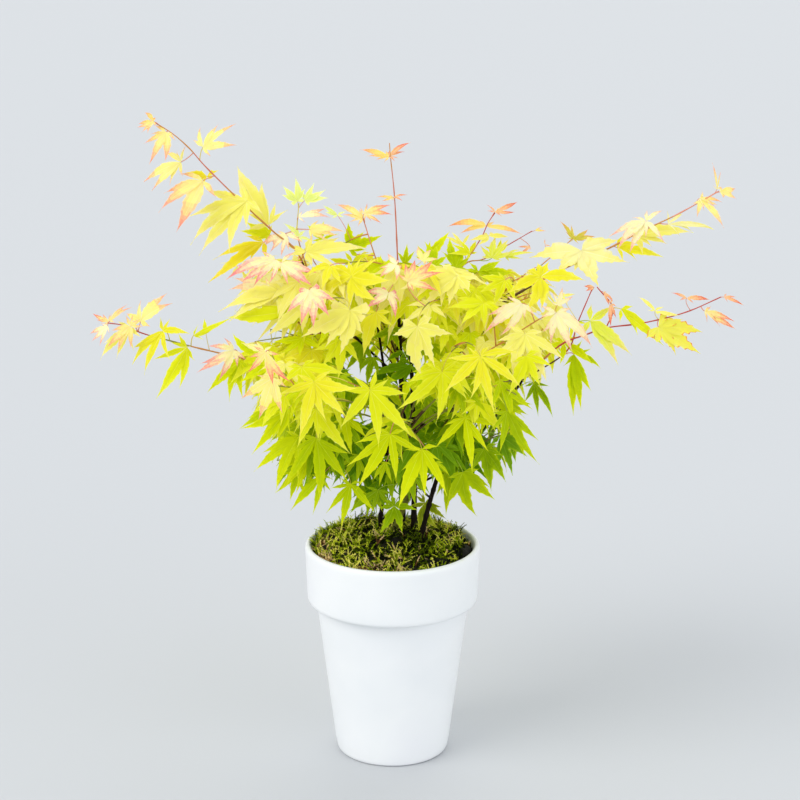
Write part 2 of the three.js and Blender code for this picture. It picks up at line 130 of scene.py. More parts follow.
def leaf_material(name, code, thin=0.7):
    """A thin leaf that passes some light, in one plain colour, with a painted glow that lifts its shade."""
    m, nt, p = material(name)
    colour = linear(code)
    # The base colour is dimmed to leave room for the painted glow, so lit leaves get no brighter.
    p.inputs["Base Color"].default_value = (*[0.79 * c for c in colour], 1)
    p.inputs["Roughness"].default_value = 0.6
    p.inputs["Specular IOR Level"].default_value = 0.06
    p.inputs["Subsurface Weight"].default_value = thin
    p.inputs["Subsurface Radius"].default_value = (1.0, 1.0, 0.3)
    p.inputs["Subsurface Scale"].default_value = 0.0006
    # Painted glow: a plain emission in a colour stronger than the blade's, standing in for light through the leaf,
    # which brightens leaves in shade.
    through = colour[2] * min(1.0, 0.35 + 1.3 * colour[2])
    p.inputs["Emission Color"].default_value = (colour[0], colour[1], through, 1)
    p.inputs["Emission Strength"].default_value = 0.23
    m.diffuse_color = (*colour, 1)
    return m


def plain_material(name, code, roughness=0.7, specular=0.3):
    m, nt, p = material(name)
    colour = linear(code)
    p.inputs["Base Color"].default_value = (*colour, 1)
    p.inputs["Roughness"].default_value = roughness
    p.inputs["Specular IOR Level"].default_value = specular
    m.diffuse_color = (*colour, 1)
    return m


def node(nt, kind, **values):
    n = nt.nodes.new(kind)
    for key, value in values.items():
        if key in n.inputs:
            n.inputs[key].default_value = value
        else:
            setattr(n, key, value)
    return n


def ramp(nt, source, *stops):
    r = nt.nodes.new("ShaderNodeValToRGB")
    r.color_ramp.elements[0].position = stops[0][0]
    r.color_ramp.elements[0].color = (*linear(stops[0][1]), 1)
    r.color_ramp.elements[1].position = stops[-1][0]
    r.color_ramp.elements[1].color = (*linear(stops[-1][1]), 1)
    for place, code in stops[1:-1]:
        r.color_ramp.elements.new(place).color = (*linear(code), 1)
    nt.links.new(source, r.inputs["Fac"])
    return r.outputs["Color"]


def bump(nt, p, height, strength, distance):
    b = node(nt, "ShaderNodeBump", Strength=strength, Distance=distance)
    nt.links.new(height, b.inputs["Height"])
    nt.links.new(b.outputs["Normal"], p.inputs["Normal"])


def glaze_material():
    """White satin glaze: very slight pooling of tone, and a faint orange-peel."""
    m, nt, p = material("white_glaze")
    place = node(nt, "ShaderNodeTexCoord")
    cloud = node(nt, "ShaderNodeTexNoise", Scale=9.0, Detail=3.0)
    nt.links.new(place.outputs["Object"], cloud.inputs["Vector"])
    nt.links.new(
        ramp(nt, cloud.outputs["Fac"], (0.3, "#EDF0F2"), (0.55, "#F3F5F6"), (0.8, "#F0F1F5")),
        p.inputs["Base Color"],
    )
    peel = node(nt, "ShaderNodeTexNoise", Scale=260.0, Detail=2.0)
    nt.links.new(place.outputs["Object"], peel.inputs["Vector"])
    bump(nt, p, peel.outputs["Fac"], 0.05, 0.0004)
    shine = node(nt, "ShaderNodeMapRange")
    shine.inputs["To Min"].default_value = 0.30
    shine.inputs["To Max"].default_value = 0.42
    nt.links.new(cloud.outputs["Fac"], shine.inputs["Value"])
    nt.links.new(shine.outputs["Result"], p.inputs["Roughness"])
    p.inputs["Specular IOR Level"].default_value = 0.42
    p.inputs["Coat Weight"].default_value = 0.15
    p.inputs["Coat Roughness"].default_value = 0.2
    return m


def bark_material(name, dark, mid, light):
    """Young bark: long fine streaks, pale specks and a shallow grain."""
    m, nt, p = material(name)
    place = node(nt, "ShaderNodeTexCoord")
    stretch = node(nt, "ShaderNodeMapping")
    stretch.inputs["Scale"].default_value = (1.0, 1.0, 0.14)
    nt.links.new(place.outputs["Object"], stretch.inputs["Vector"])
    streak = node(nt, "ShaderNodeTexNoise", Scale=900.0, Detail=5.0, Roughness=0.65)
    nt.links.new(stretch.outputs["Vector"], streak.inputs["Vector"])
    nt.links.new(
        ramp(nt, streak.outputs["Fac"], (0.32, dark), (0.55, mid), (0.74, light)),
        p.inputs["Base Color"],
    )
    bump(nt, p, streak.outputs["Fac"], 0.55, 0.0006)
    p.inputs["Roughness"].default_value = 0.75
    p.inputs["Specular IOR Level"].default_value = 0.14
    return m


def compost_material():
    m, nt, p = material("compost_dark")
    place = node(nt, "ShaderNodeTexCoord")
    crumb = node(nt, "ShaderNodeTexNoise", Scale=260.0, Detail=6.0, Roughness=0.7)
    nt.links.new(place.outputs["Object"], crumb.inputs["Vector"])
    nt.links.new(
        ramp(nt, crumb.outputs["Fac"], (0.3, "#120C08"), (0.55, "#2E2116"), (0.75, "#5A432C")),
        p.inputs["Base Color"],
    )
    bump(nt, p, crumb.outputs["Fac"], 0.9, 0.002)
    p.inputs["Roughness"].default_value = 0.95
    return m


def moss_bed_material():
    m, nt, p = material("moss_bed")
    place = node(nt, "ShaderNodeTexCoord")
    tuft = node(nt, "ShaderNodeTexNoise", Scale=190.0, Detail=6.0, Roughness=0.75)
    nt.links.new(place.outputs["Object"], tuft.inputs["Vector"])
    # Nearly black: painted shade in the hollows between the tufts, over the moss's own dark base.
    nt.links.new(
        ramp(
            nt,
            tuft.outputs["Fac"],
            (0.34, "#070604"),
            (0.50, "#121006"),
            (0.64, "#24240A"),
            (0.78, "#3E301A"),
        ),
        p.inputs["Base Color"],
    )
    bump(nt, p, tuft.outputs["Fac"], 1.0, 0.003)
    p.inputs["Roughness"].default_value = 0.95
    return m


GLAZE = glaze_material()
BARK = bark_material("bark_black", "#0A0705", "#1C130E", "#40301F")
BARK_GREEN = bark_material("bark_olive", "#3C3C14", "#74762A", "#A09C4C")

# ------------------------------------------------------------------ meshes from arrays


class Pile:
    """Vertices and faces gathered from many small things, for one mesh."""

    def __init__(self):
        self.points, self.faces, self.slots, self.count = [], [], [], 0

    def add(self, points, faces, slots):
        self.points.append(np.asarray(points, float))
        self.faces.extend([tuple(i + self.count for i in f) for f in faces])
        self.slots.extend(slots if hasattr(slots, "__len__") else [slots] * len(faces))
        self.count += len(points)

    def make(self, name, materials, sharp=None, smooth=True):
        mesh = bpy.data.meshes.new(name)
        mesh.from_pydata((np.concatenate(self.points) * MM).tolist(), [], self.faces)
        for m in materials:
            mesh.materials.append(m)
        mesh.polygons.foreach_set("material_index", np.array(self.slots, np.int32))
        mesh.polygons.foreach_set("use_smooth", np.full(len(self.faces), smooth))
        if sharp is not None:
            mesh.set_sharp_from_angle(angle=math.radians(sharp))
        mesh.validate()
        mesh.update()
        obj = bpy.data.objects.new(name, mesh)
        bpy.context.scene.collection.objects.link(obj)
        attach(obj, "root")
        return obj


def unit(v):
    v = np.asarray(v, float)
    return v / max(float(np.linalg.norm(v)), 1e-9)


def bezier(a, c, b, steps):
    t = np.linspace(0.0, 1.0, steps + 1)[:, None]
    return (1 - t) ** 2 * a + 2 * t * (1 - t) * c + t**2 * b


def smooth_path(points, step):
    """A rounded line through the points, with a vertex about every step."""
    p = np.asarray(points, float)
    p = np.vstack([2 * p[0] - p[1], p, 2 * p[-1] - p[-2]])
    out = []
    for i in range(1, len(p) - 2):
        n = max(1, int(round(np.linalg.norm(p[i + 1] - p[i]) / step)))
        for k in range(n):
            t = k / n
            out.append(
                0.5
                * (
                    2 * p[i]
                    + (p[i + 1] - p[i - 1]) * t
                    + (2 * p[i - 1] - 5 * p[i] + 4 * p[i + 1] - p[i + 2]) * t**2
                    + (3 * p[i] - p[i - 1] - 3 * p[i + 1] + p[i + 2]) * t**3
                )
            )
    out.append(p[-2])
    return np.array(out)


def tube(path, radii, sides, rough=None):
    """A closed tube round the path. rough(i, angle) changes its radius there."""
    path = np.asarray(path, float)
    n = len(path)
    tangent = np.gradient(path, axis=0)
    tangent /= np.maximum(np.linalg.norm(tangent, axis=1, keepdims=True), 1e-9)
    side = unit(np.cross(tangent[0], [0.3, 0.9, 0.2]))
    angle = 2 * PI * np.arange(sides) / sides
    rings = []
    for i in range(n):
        side = unit(side - tangent[i] * float(side @ tangent[i]))
        up = np.cross(tangent[i], side)
        r = radii[i] * (1.0 if rough is None else rough(i, angle))
        rings.append(
            path[i]
            + np.outer(np.cos(angle) * r, side)
            + np.outer(np.sin(angle) * r, up)
        )
    points = np.vstack([*rings, path[0][None], path[-1][None]])
    faces = []
    for i in range(n - 1):
        for j in range(sides):
            a, b = i * sides + j, i * sides + (j + 1) % sides
            faces.append((a, b, b + sides, a + sides))
    first, last = n * sides, n * sides + 1
    for j in range(sides):
        k = (j + 1) % sides
        faces.append((first, k, j))
        faces.append((last, (n - 1) * sides + j, (n - 1) * sides + k))
    return points, faces


# ------------------------------------------------------------------ limbs, as in the frame

SOIL_TOP = 190.0
GAP = 0.35

STEMS = {
    "stem_centre": ((20, 17), (15, 8, 452), (3, 1), (3.1, 1.5)),
    "stem_back": ((9, 31), (3, 27, 470), (5, 2), (2.6, 1.2)),
    "stem_leaning": ((-10, 11), (60, -6, 350), (-4, 3), (3.3, 2.0)),
    "stem_right": ((24, 4), (53, -24, 318), (-3, 2), (2.7, 1.8)),
    "stem_left": ((-20, 23), (-14, 18, 424), (12, 1), (2.4, 1.1)),
}

BOUGHS = {
    "bough_upper_left": ("stem_centre", 366, (-62, 2, 448), -4, (1.25, 0.9)),
    "bough_left": ("stem_left", 300, (-76, -22, 372), -6, (1.3, 0.9)),
    "bough_lower_left": ("stem_left", 256, (-44, -18, 302), -5, (1.2, 0.9)),
    "bough_top": ("stem_back", 420, (34, 40, 476), -4, (0.95, 0.7)),
    "bough_upper_right": ("stem_leaning", 330, (88, 22, 438), -6, (1.5, 1.0)),
    "bough_right": ("stem_right", 304, (122, -40, 388), -9, (1.6, 1.0)),
    "bough_lower_right": ("stem_leaning", 270, (72, -4, 306), -4, (1.3, 0.9)),
    "bough_front": ("stem_centre", 300, (6, -74, 362), -8, (1.3, 0.9)),
    "bough_low_front": ("stem_right", 262, (26, -42, 286), -3, (1.1, 0.8)),
    "bough_back": ("stem_back", 330, (4, 92, 396), -8, (1.3, 0.9)),
    "bough_back_left": ("stem_left", 340, (-74, 82, 404), -8, (1.3, 0.9)),
    "bough_back_right": ("stem_back", 300, (80, 92, 398), -10, (1.4, 0.9)),
    "bough_low_back": ("stem_back", 262, (14, 62, 304), -3, (1.1, 0.8)),
}

limb_paths = {}
for name, (foot, top, bow, r) in STEMS.items():
    a = np.array([foot[0], foot[1], SOIL_TOP + GAP], float)
    b = np.array(top, float)
    c = a + 0.45 * (b - a) + 2 * np.array([bow[0], bow[1], 0.0])
    limb_paths[name] = bezier(a, c, b, 170)
for name, (stem, height, end, lift, r) in BOUGHS.items():
    line = limb_paths[stem]
    a = line[int(np.argmin(np.abs(line[:, 2] - height)))]
    b = np.array(end, float)
    c = 0.5 * (a + b) + np.array([0.0, 0.0, 2.0 * lift])
    limb_paths[name] = bezier(a, c, b, 60)


def bark_tube(path, r0, r1, flare, seed, sides, knots):
    """A limb with bark relief: long ridges, swollen knots where buds were, and a flared foot."""
    own = np.random.default_rng(seed)
    length = float(np.linalg.norm(np.diff(path, axis=0), axis=1).sum())
    n = len(path)
    share = np.linspace(0, 1, n)
    along = share * length
    radii = r0 + (r1 - r0) * share
    radii = radii * (1 + flare * np.exp(-along / 11.0))
    for k in range(knots):
        centre = length * (k + 0.6 + 0.3 * own.random()) / knots
        radii = radii * (1 + 0.22 * np.exp(-(((along - centre) / 1.7) ** 2)))
    phase = own.random(6) * 2 * PI
    lump = own.normal(0, 1, (n, sides))
    lump = (lump + np.roll(lump, 1, 0) + np.roll(lump, 2, 0) + np.roll(lump, -1, 0)) / 4

    def rough(i, angle):
        s = along[i]
        r = 1 + 0.05 * np.cos(3 * angle + phase[0] + 0.02 * s)
        r += 0.035 * np.cos(5 * angle + phase[1] - 0.035 * s)
        r += 0.02 * np.sin(0.9 * s + phase[2] + 2 * np.sin(angle))
        if flare:
            r += 0.16 * math.exp(-s / 12.0) * np.cos(3 * angle + phase[3])
        return r + 0.03 * lump[i]

    return tube(path, radii, sides, rough)


for name, (foot, top, bow, r) in STEMS.items():
    pile = Pile()
    pile.add(
        *bark_tube(limb_paths[name], r[0], r[1], 0.75, len(pile.points) + foot[0] + 60, 16, 9), 0
    )
    green = name == "stem_leaning"
    piece = pile.make(name + "_bark", [BARK_GREEN if green else BARK])
    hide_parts(name)
for name, (stem, height, end, lift, r) in BOUGHS.items():
    pile = Pile()
    pile.add(*bark_tube(limb_paths[name], r[0], r[1], 0.0, height, 10, 4), 0)
    piece = pile.make(name + "_bark", [BARK])
    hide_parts(name)

# ------------------------------------------------------------------ leaf shapes

# Colours of a leaf: blade, the tone half way out, the tips with the rim near them, the veins,
# and how far in from the rim the outer tones reach.
LEAF_COLOURS = {
    "lemon_pale": ("#ECE59E", "#EAE18E", "#EADD86", "#F2ECB6", 0.80),
    "lemon": ("#E8E16E", "#E9E078", "#EEE190", "#EFE796", 0.80),
    "yellow": ("#E1DA2C", "#E3DC3A", "#E9DF52", "#E7E15C", 0.80),
    "gold": ("#E6D42C", "#E7D438", "#ECD650", "#EADC54", 0.80),
    "yellow_lime": ("#D6DA1A", "#DADE24", "#E3E342", "#DEE04C", 0.80),
    "lime_yellow": ("#C4D000", "#CCD606", "#D9DE1E", "#D0DC30", 0.80),
    "lime": ("#B0C400", "#BACA02", "#CAD416", "#C2D028", 0.80),
    "lime_green": ("#9CB200", "#A6BA02", "#B8C610", "#AEC224", 0.80),
    "green_lime": ("#819F00", "#8BA904", "#A0B910", "#96B122", 0.80),
    "green": ("#658D06", "#6F9708", "#84AB10", "#7EA120", 0.80),
    "green_dark": ("#4B7504", "#558106", "#6A930E", "#648D20", 0.80),
    "blush": ("#F2E8B2", "#F3DCB0", "#EEAA9C", "#F5ECC0", 0.66),
    "lime_soft": ("#D4DA4C", "#D8D85C", "#DED07A", "#DCDE7C", 0.74),
    "olive_leaf": ("#84941A", "#8C9A1E", "#9EA42A", "#98A434", 0.80),
    "lime_orange": ("#CDC24C", "#D2B256", "#D8945E", "#D8CC64", 0.66),
    "pale_green": ("#E0EA88", "#E4EE90", "#EAF2A6", "#EAF2AC", 0.80),
    "pink_edge": ("#F7ECB0", "#F4C8AC", "#EC8C94", "#F8E8BC", 0.44),
    "salmon_edge": ("#F4DE90", "#F1B48C", "#E97A74", "#F5DEA0", 0.44),
    "cream_pink": ("#F9F0BC", "#F7D6B0", "#F29C9A", "#FAF1C8", 0.60),
    "cream": ("#FAF4C4", "#F8ECBC", "#F6D8B0", "#FBF6D2", 0.74),
    "lemon_pink": ("#F2E68E", "#F1DA90", "#F0AE98", "#F5EAA2", 0.68),
    "cream_tip": ("#F8F0B4", "#F6E8A4", "#F0A890", "#FAF4C6", 0.84),
    "lemon_tip": ("#F2E894", "#F1E48C", "#EFA292", "#F6EEAC", 0.84),
    "peach": ("#F4E290", "#F3CB8E", "#EE9C8C", "#F5E4A0", 0.56),
    "orange": ("#F0D478", "#EEBC7A", "#EA8E70", "#F3D88C", 0.62),
    "red": ("#ECB488", "#E68A72", "#DA6060", "#EFC098", 0.54),
    "lemon_red": ("#E7E35E", "#E9DC5A", "#DD4C3A", "#ECE67C", 0.82),
}
COLOUR_NAMES = list(LEAF_COLOURS)
TONES = 6  # blade, soft, mid, deep, tip, vein


def between(x, y, share):
    """The hex colour a share of the way from x to y."""
    return "#" + "".join(
        "%02X" % round(int(x[i : i + 2], 16) * (1 - share) + int(y[i : i + 2], 16) * share) for i in (1, 3, 5)
    )


leaf_mats = []
for name, (blade, mid, tip, vein, inner) in LEAF_COLOURS.items():
    leaf_mats += [
        leaf_material("leaf_" + name, blade),
        leaf_material("leaf_" + name + "_soft", between(blade, mid, 0.5)),
        leaf_material("leaf_" + name + "_mid", mid),
        leaf_material("leaf_" + name + "_deep", between(mid, tip, 0.5)),
        leaf_material("leaf_" + name + "_tip", tip),
        leaf_material("leaf_" + name + "_vein", vein),
    ]

THICK = 0.28


def lobe_template(stations):
    """A lobe along +s of length 1: share along, side (-1 to 1), tooth (1 out, 0 in) and a flag for the underside.
    Faces are marked 0 to 4 from blade to tip, and 5 on the vein; those along the rim are flagged."""
    points, faces, marks, rims = [], [], [], []
    top, under = [], []
    for k in range(stations + 1):
        s = (k / stations) ** 0.95
        row = []
        for side in (-1.0, -0.5, -0.06, 0.06, 0.5, 1.0):
            edge = abs(side) == 1.0
            out = 1.0 if (k + (side > 0)) % 2 else 0.0
            ahead = 0.42 / stations if edge and out and 0 < k < stations else 0.0
            row.append(len(points))
            points.append((min(s + ahead, 1.0), side, out, 0.0))
        top.append(row)
        under.append([row[0], len(points), row[-1]])
        points.append((s, 0.0, 1.0, 1.0))
    for k in range(stations):
        s = (k + 0.5) / stations
        rim = int(np.searchsorted([0.24, 0.36, 0.48, 0.60], s))
        middle = int(np.searchsorted([0.44, 0.56, 0.68, 0.80], s))
        for j in range(5):
            mark = rim if j in (0, 4) else middle
            if j == 2 and s < 0.72:
                mark = 5
            faces.append((top[k][j], top[k][j + 1], top[k + 1][j + 1], top[k + 1][j]))
            marks.append(mark)
            rims.append(j in (0, 4))
        for j in range(2):
            faces.append((under[k][j + 1], under[k][j], under[k + 1][j], under[k + 1][j + 1]))
            marks.append(middle)
            rims.append(False)
    return np.array(points), faces, np.array(marks), np.array(rims)


TEMPLATES = {k: lobe_template(k) for k in (5, 7, 9, 11, 13)}
RISE, FALL = 1.3, 1.9
PEAK = RISE / (RISE + FALL)
SHAPE_NORM = PEAK**RISE * (1 - PEAK) ** FALL

# Kinds of leaf: half-width of a lobe as a share of its length, depth of its teeth,
# how far out the lobes are joined, and how much they arch, in degrees.
KINDS = {
    "star": (0.114, 0.13, 0.23, 30),
    "slim": (0.097, 0.11, 0.19, 30),
    "open": (0.134, 0.16, 0.27, 26),
    "broad": (0.152, 0.26, 0.34, 20),
    "wide": (0.168, 0.32, 0.38, 16),
    "full": (0.186, 0.34, 0.45, 14),
    "young": (0.150, 0.12, 0.36, 26),
    "thin": (0.090, 0.08, 0.20, 36),
    "strip": (0.058, 0.06, 0.14, 30),
}
RIM_ONLY = ("lemon_red",)  # colours whose outer tones keep to the rim

# Lobes of a leaf: turn from the middle one in degrees, and length as a share of it.
SEVEN = ((0, 1.0), (38, 0.93), (-38, 0.93), (76, 0.70), (-76, 0.70), (120, 0.35), (-120, 0.35))
FIVE = ((0, 1.0), (42, 0.86), (-42, 0.86), (86, 0.50), (-86, 0.50))

leaf_count = 0


def build_leaf(pile, joint, a, n, lobes, colour, kind, own, fine=9, sag=0.0, pinned=False):
    """One leaf on the joint, with its upper side along n. lobes are (turn from a in degrees, length).
    pinned keeps each lobe's tip in the leaf's plane; otherwise the lobes start in it and arch down from it."""
    global leaf_count
    leaf_count += 1
    b = np.cross(a, n)
    base = TONES * COLOUR_NAMES.index(colour)
    inner = LEAF_COLOURS[colour][4]
    width, teeth, cut, arch = KINDS[kind]
    arch = max(4.0, arch * (0.7 + 0.6 * own.random()))
    start = 0.0 if pinned else math.radians(own.normal(3.0, 3.0))
    lobes = sorted(lobes)
    longest = max(reach for _, reach in lobes)
    for i, (turn, reach) in enumerate(lobes):
        before = (turn - lobes[i - 1][0]) / 2 if i else 24.0
        after = (lobes[i + 1][0] - turn) / 2 if i + 1 < len(lobes) else 24.0
        steps = fine if reach > 0.55 * longest else (7 if reach > 0.4 * longest else 5)
        if reach < 16:
            steps = min(steps, 7)
        t, faces, marks, rims = TEMPLATES[steps]
        if colour in RIM_ONLY:
            marks = np.where(rims | (marks == 5), marks, np.minimum(marks, 1))
        s, side, out, low = t[:, 0], t[:, 1], t[:, 2], t[:, 3]
        lobe = width * (1 + own.normal(0, 0.06)) * s**RISE * (1 - s) ** FALL / SHAPE_NORM
        joined = cut * (0.55 * longest + 0.45 * reach) / reach
        reach_web = np.where(side < 0, math.tan(math.radians(min(30.0, before))), math.tan(math.radians(min(30.0, after))))
        web = reach_web * s * np.clip((joined + 0.07 - s) / 0.14, 0, 1)
        half = reach * np.maximum(lobe, web)
        free = np.clip((s - joined) / 0.12, 0, 1)
        half = half * np.where(out == 1.0, 1.0 + 0.3 * teeth * free, 1.0 - teeth * free)
        across = np.where(
            np.abs(side) == 1.0,
            side * half,
            np.where(
                np.abs(side) == 0.5,
                np.sign(side) * inner * half,
                np.sign(side) * np.minimum(0.34 * (1 - 0.8 * s), 0.3 * half + 0.02),
            ),
        )
        across = np.where(low == 1.0, 0.0, across)
        total = math.radians(max(2.0, arch + own.normal(0, 5.0)))
        grid = np.linspace(0, 1, 33)
        slope = start + total * grid**1.4
        forward = np.concatenate([[0], np.cumsum((np.cos(slope[1:]) + np.cos(slope[:-1])) / 2)]) / 32
        drop = np.concatenate([[0], np.cumsum((np.sin(slope[1:]) + np.sin(slope[:-1])) / 2)]) / 32
        if pinned:
            tilt = math.atan2(drop[-1], forward[-1])
            chord = math.hypot(drop[-1], forward[-1])
            forward, drop = (
                (forward * math.cos(tilt) + drop * math.sin(tilt)) / chord,
                (drop * math.cos(tilt) - forward * math.sin(tilt)) / chord,
            )
        x = np.interp(s, grid, forward) * reach
        z = -np.interp(s, grid, drop) * reach
        roll = math.radians(own.normal(0, 10.0)) * s
        rise = 0.26 * np.abs(across) * (1 - 0.5 * s)
        z = z + rise * np.cos(roll) + across * np.sin(roll)
        z = z + 0.012 * reach * np.sin(9.0 * s + side + own.random() * 6) * s
        bow = own.normal(0, 0.04) * reach
        across = across * np.cos(roll) + (bow * s * (1 - s) * 4 if pinned else bow * s**2)
        z = z - low * THICK * np.minimum(1.0, np.minimum(s, 1 - s) * 8)
        angle = math.radians(turn)
        side_way = math.sin(angle) * x + math.cos(angle) * across
        long_way = math.cos(angle) * x - math.sin(angle) * across
        points = joint + np.outer(side_way, b) + np.outer(long_way, a) + np.outer(z, n)
        points[:, 2] -= sag * longest * (s * reach / longest) ** 2
        pile.add(points, faces, (base + marks).tolist())


def grow_leaf(pile, joint, ahead, normal, length, colour, kind, own, fine=7):
    """A leaf of the usual form that points ahead and faces along normal."""
    a = unit(ahead)
    n = unit(np.asarray(normal, float) - a * float(np.dot(normal, a)))
    spread = 1 + own.normal(0, 0.07)
    lobes = [
        (turn * spread + own.normal(0, 3.0), length * part * (1 + own.normal(0, 0.05)))
        for turn, part in (SEVEN if length > 24 else FIVE)
    ]
    build_leaf(pile, joint, a, n, lobes, colour, kind, own, fine, sag=0.07)


CAMERA = np.array([0.0, -CAM_BACK, CAM_UP])


def shown_leaf(u, v, y, colour, faces_way, kind, tips, own):
    """A leaf with its joint and the tips of its lobes where the picture shows them, lying in the plane through
    the joint that faces faces_way. Two small lobes are added beside the stalk."""
    j = at(u, v, y)
    lean = np.array([(u - 400.0) / 200.0 * 0.30 + own.normal(0, 0.26), 0.0, own.normal(0, 0.14)])
    n = unit(np.array(faces_way, float) + lean)
    ends = []
    for tu, tv in tips:
        way = at(tu, tv, y) - CAMERA
        ends.append(CAMERA + way * float((j - CAMERA) @ n) / float(way @ n) - j)
    a = unit(sum(ends))
    a = unit(a - n * float(a @ n))
    b = np.cross(a, n)
    lobes = sorted((math.degrees(math.atan2(float(e @ b), float(e @ a))), float(np.linalg.norm(e))) for e in ends)
    longest = max(r for _, r in lobes)
    # A tip is too fine to show at its very end, so each lobe reaches a little past its mark.
    lobes = [(t, 1.05 * max(r, 0.3 * longest)) for t, r in lobes]
    if len(lobes) < 7 and longest > 14:
        first, last = lobes[0], lobes[-1]
        if last[0] - first[0] < 250:
            room = min(42.0, (350 - (last[0] - first[0])) / 3)
            part = 0.28 if kind in ("young", "thin", "slim", "strip") else 0.38
            lobes = [(first[0] - room, part * longest)] + lobes + [(last[0] + room, part * longest)]
    fine = 13 if longest > 44 else 11 if longest > 28 else 9
    build_leaf(pile_for(j), j, a, n, lobes, colour, kind, own, fine, pinned=True)
    return j, longest, a, n


# ------------------------------------------------------------------ twigs and stalks

TWIG_MATS = [
    plain_material("twig_black", "#241812", 0.6),
    plain_material("twig_brown", "#5A3E22", 0.6),
    plain_material("twig_olive", "#8C8A34", 0.55),
    plain_material("twig_orange", "#C88842", 0.5),
    plain_material("twig_red", "#B8463A", 0.5),
    plain_material("stalk_yellow", "#D8C650", 0.5),
    plain_material("stalk_green", "#A8BE3C", 0.5),
    plain_material("stalk_pink", "#DE8C70", 0.5),
    plain_material("twig_rose", "#CC7660", 0.5),
]
T_BLACK, T_BROWN, T_OLIVE, T_ORANGE, T_RED, K_YELLOW, K_GREEN, K_PINK, T_ROSE = range(9)

twigs = Pile()
stalks = Pile()

skeleton_points = []  # where new twigs may start


def remember(path):
    skeleton_points.extend(np.asarray(path)[::2].tolist())


for path in limb_paths.values():
    keep = path[path[:, 2] > 262]
    skeleton_points.extend(keep[::6].tolist())


def add_twig(path, r0, r1, colours, sides=6, nodes=()):
    """A twig whose colour changes along it. nodes are shares of its length with a slight swelling."""
    n = len(path)
    share = np.linspace(0, 1, n)
    radii = r0 + (r1 - r0) * share
    for k in nodes:
        radii = radii * (1 + 0.35 * np.exp(-(((share - k) * n / 1.1) ** 2)))
    points, faces = tube(path, radii, sides)
    slots = []
    for i in range(n - 1):
        c = colours[min(len(colours) - 1, int(len(colours) * i / max(1, n - 1)))]
        slots += [c] * sides
    slots += [colours[0], colours[-1]] * sides
    twigs.add(points, faces, slots)


def add_stalk(start, end, colour, lift, r0=0.62, r1=0.42, into=None):
    """A leaf's stalk: it rises off the twig and comes over to the leaf, meeting it from behind if into is given."""
    start, end = np.asarray(start, float), np.asarray(end, float)
    span = float(np.linalg.norm(end - start))
    mid = 0.5 * (start + end) + np.array([0, 0, lift * span])
    if into is not None:
        mid = 0.35 * mid + 0.65 * (end + 0.45 * span * into)
    path = bezier(start, mid, end, max(4, int(span / 4)))
    n = len(path)
    points, faces = tube(path, r0 + (r1 - r0) * np.linspace(0, 1, n), 5)
    stalks.add(points, faces, colour)


def stalk_colour(colour, own):
    if colour in ("pink_edge", "salmon_edge", "cream_pink", "blush", "peach", "red", "lemon_red", "orange", "cream"):
        return K_PINK
    if colour in ("green", "green_dark", "green_lime", "lime_green", "olive_leaf", "lime_soft"):
        return K_GREEN
    return K_PINK if own.random() < 0.3 else K_YELLOW


# ------------------------------------------------------------------ long shoots that show

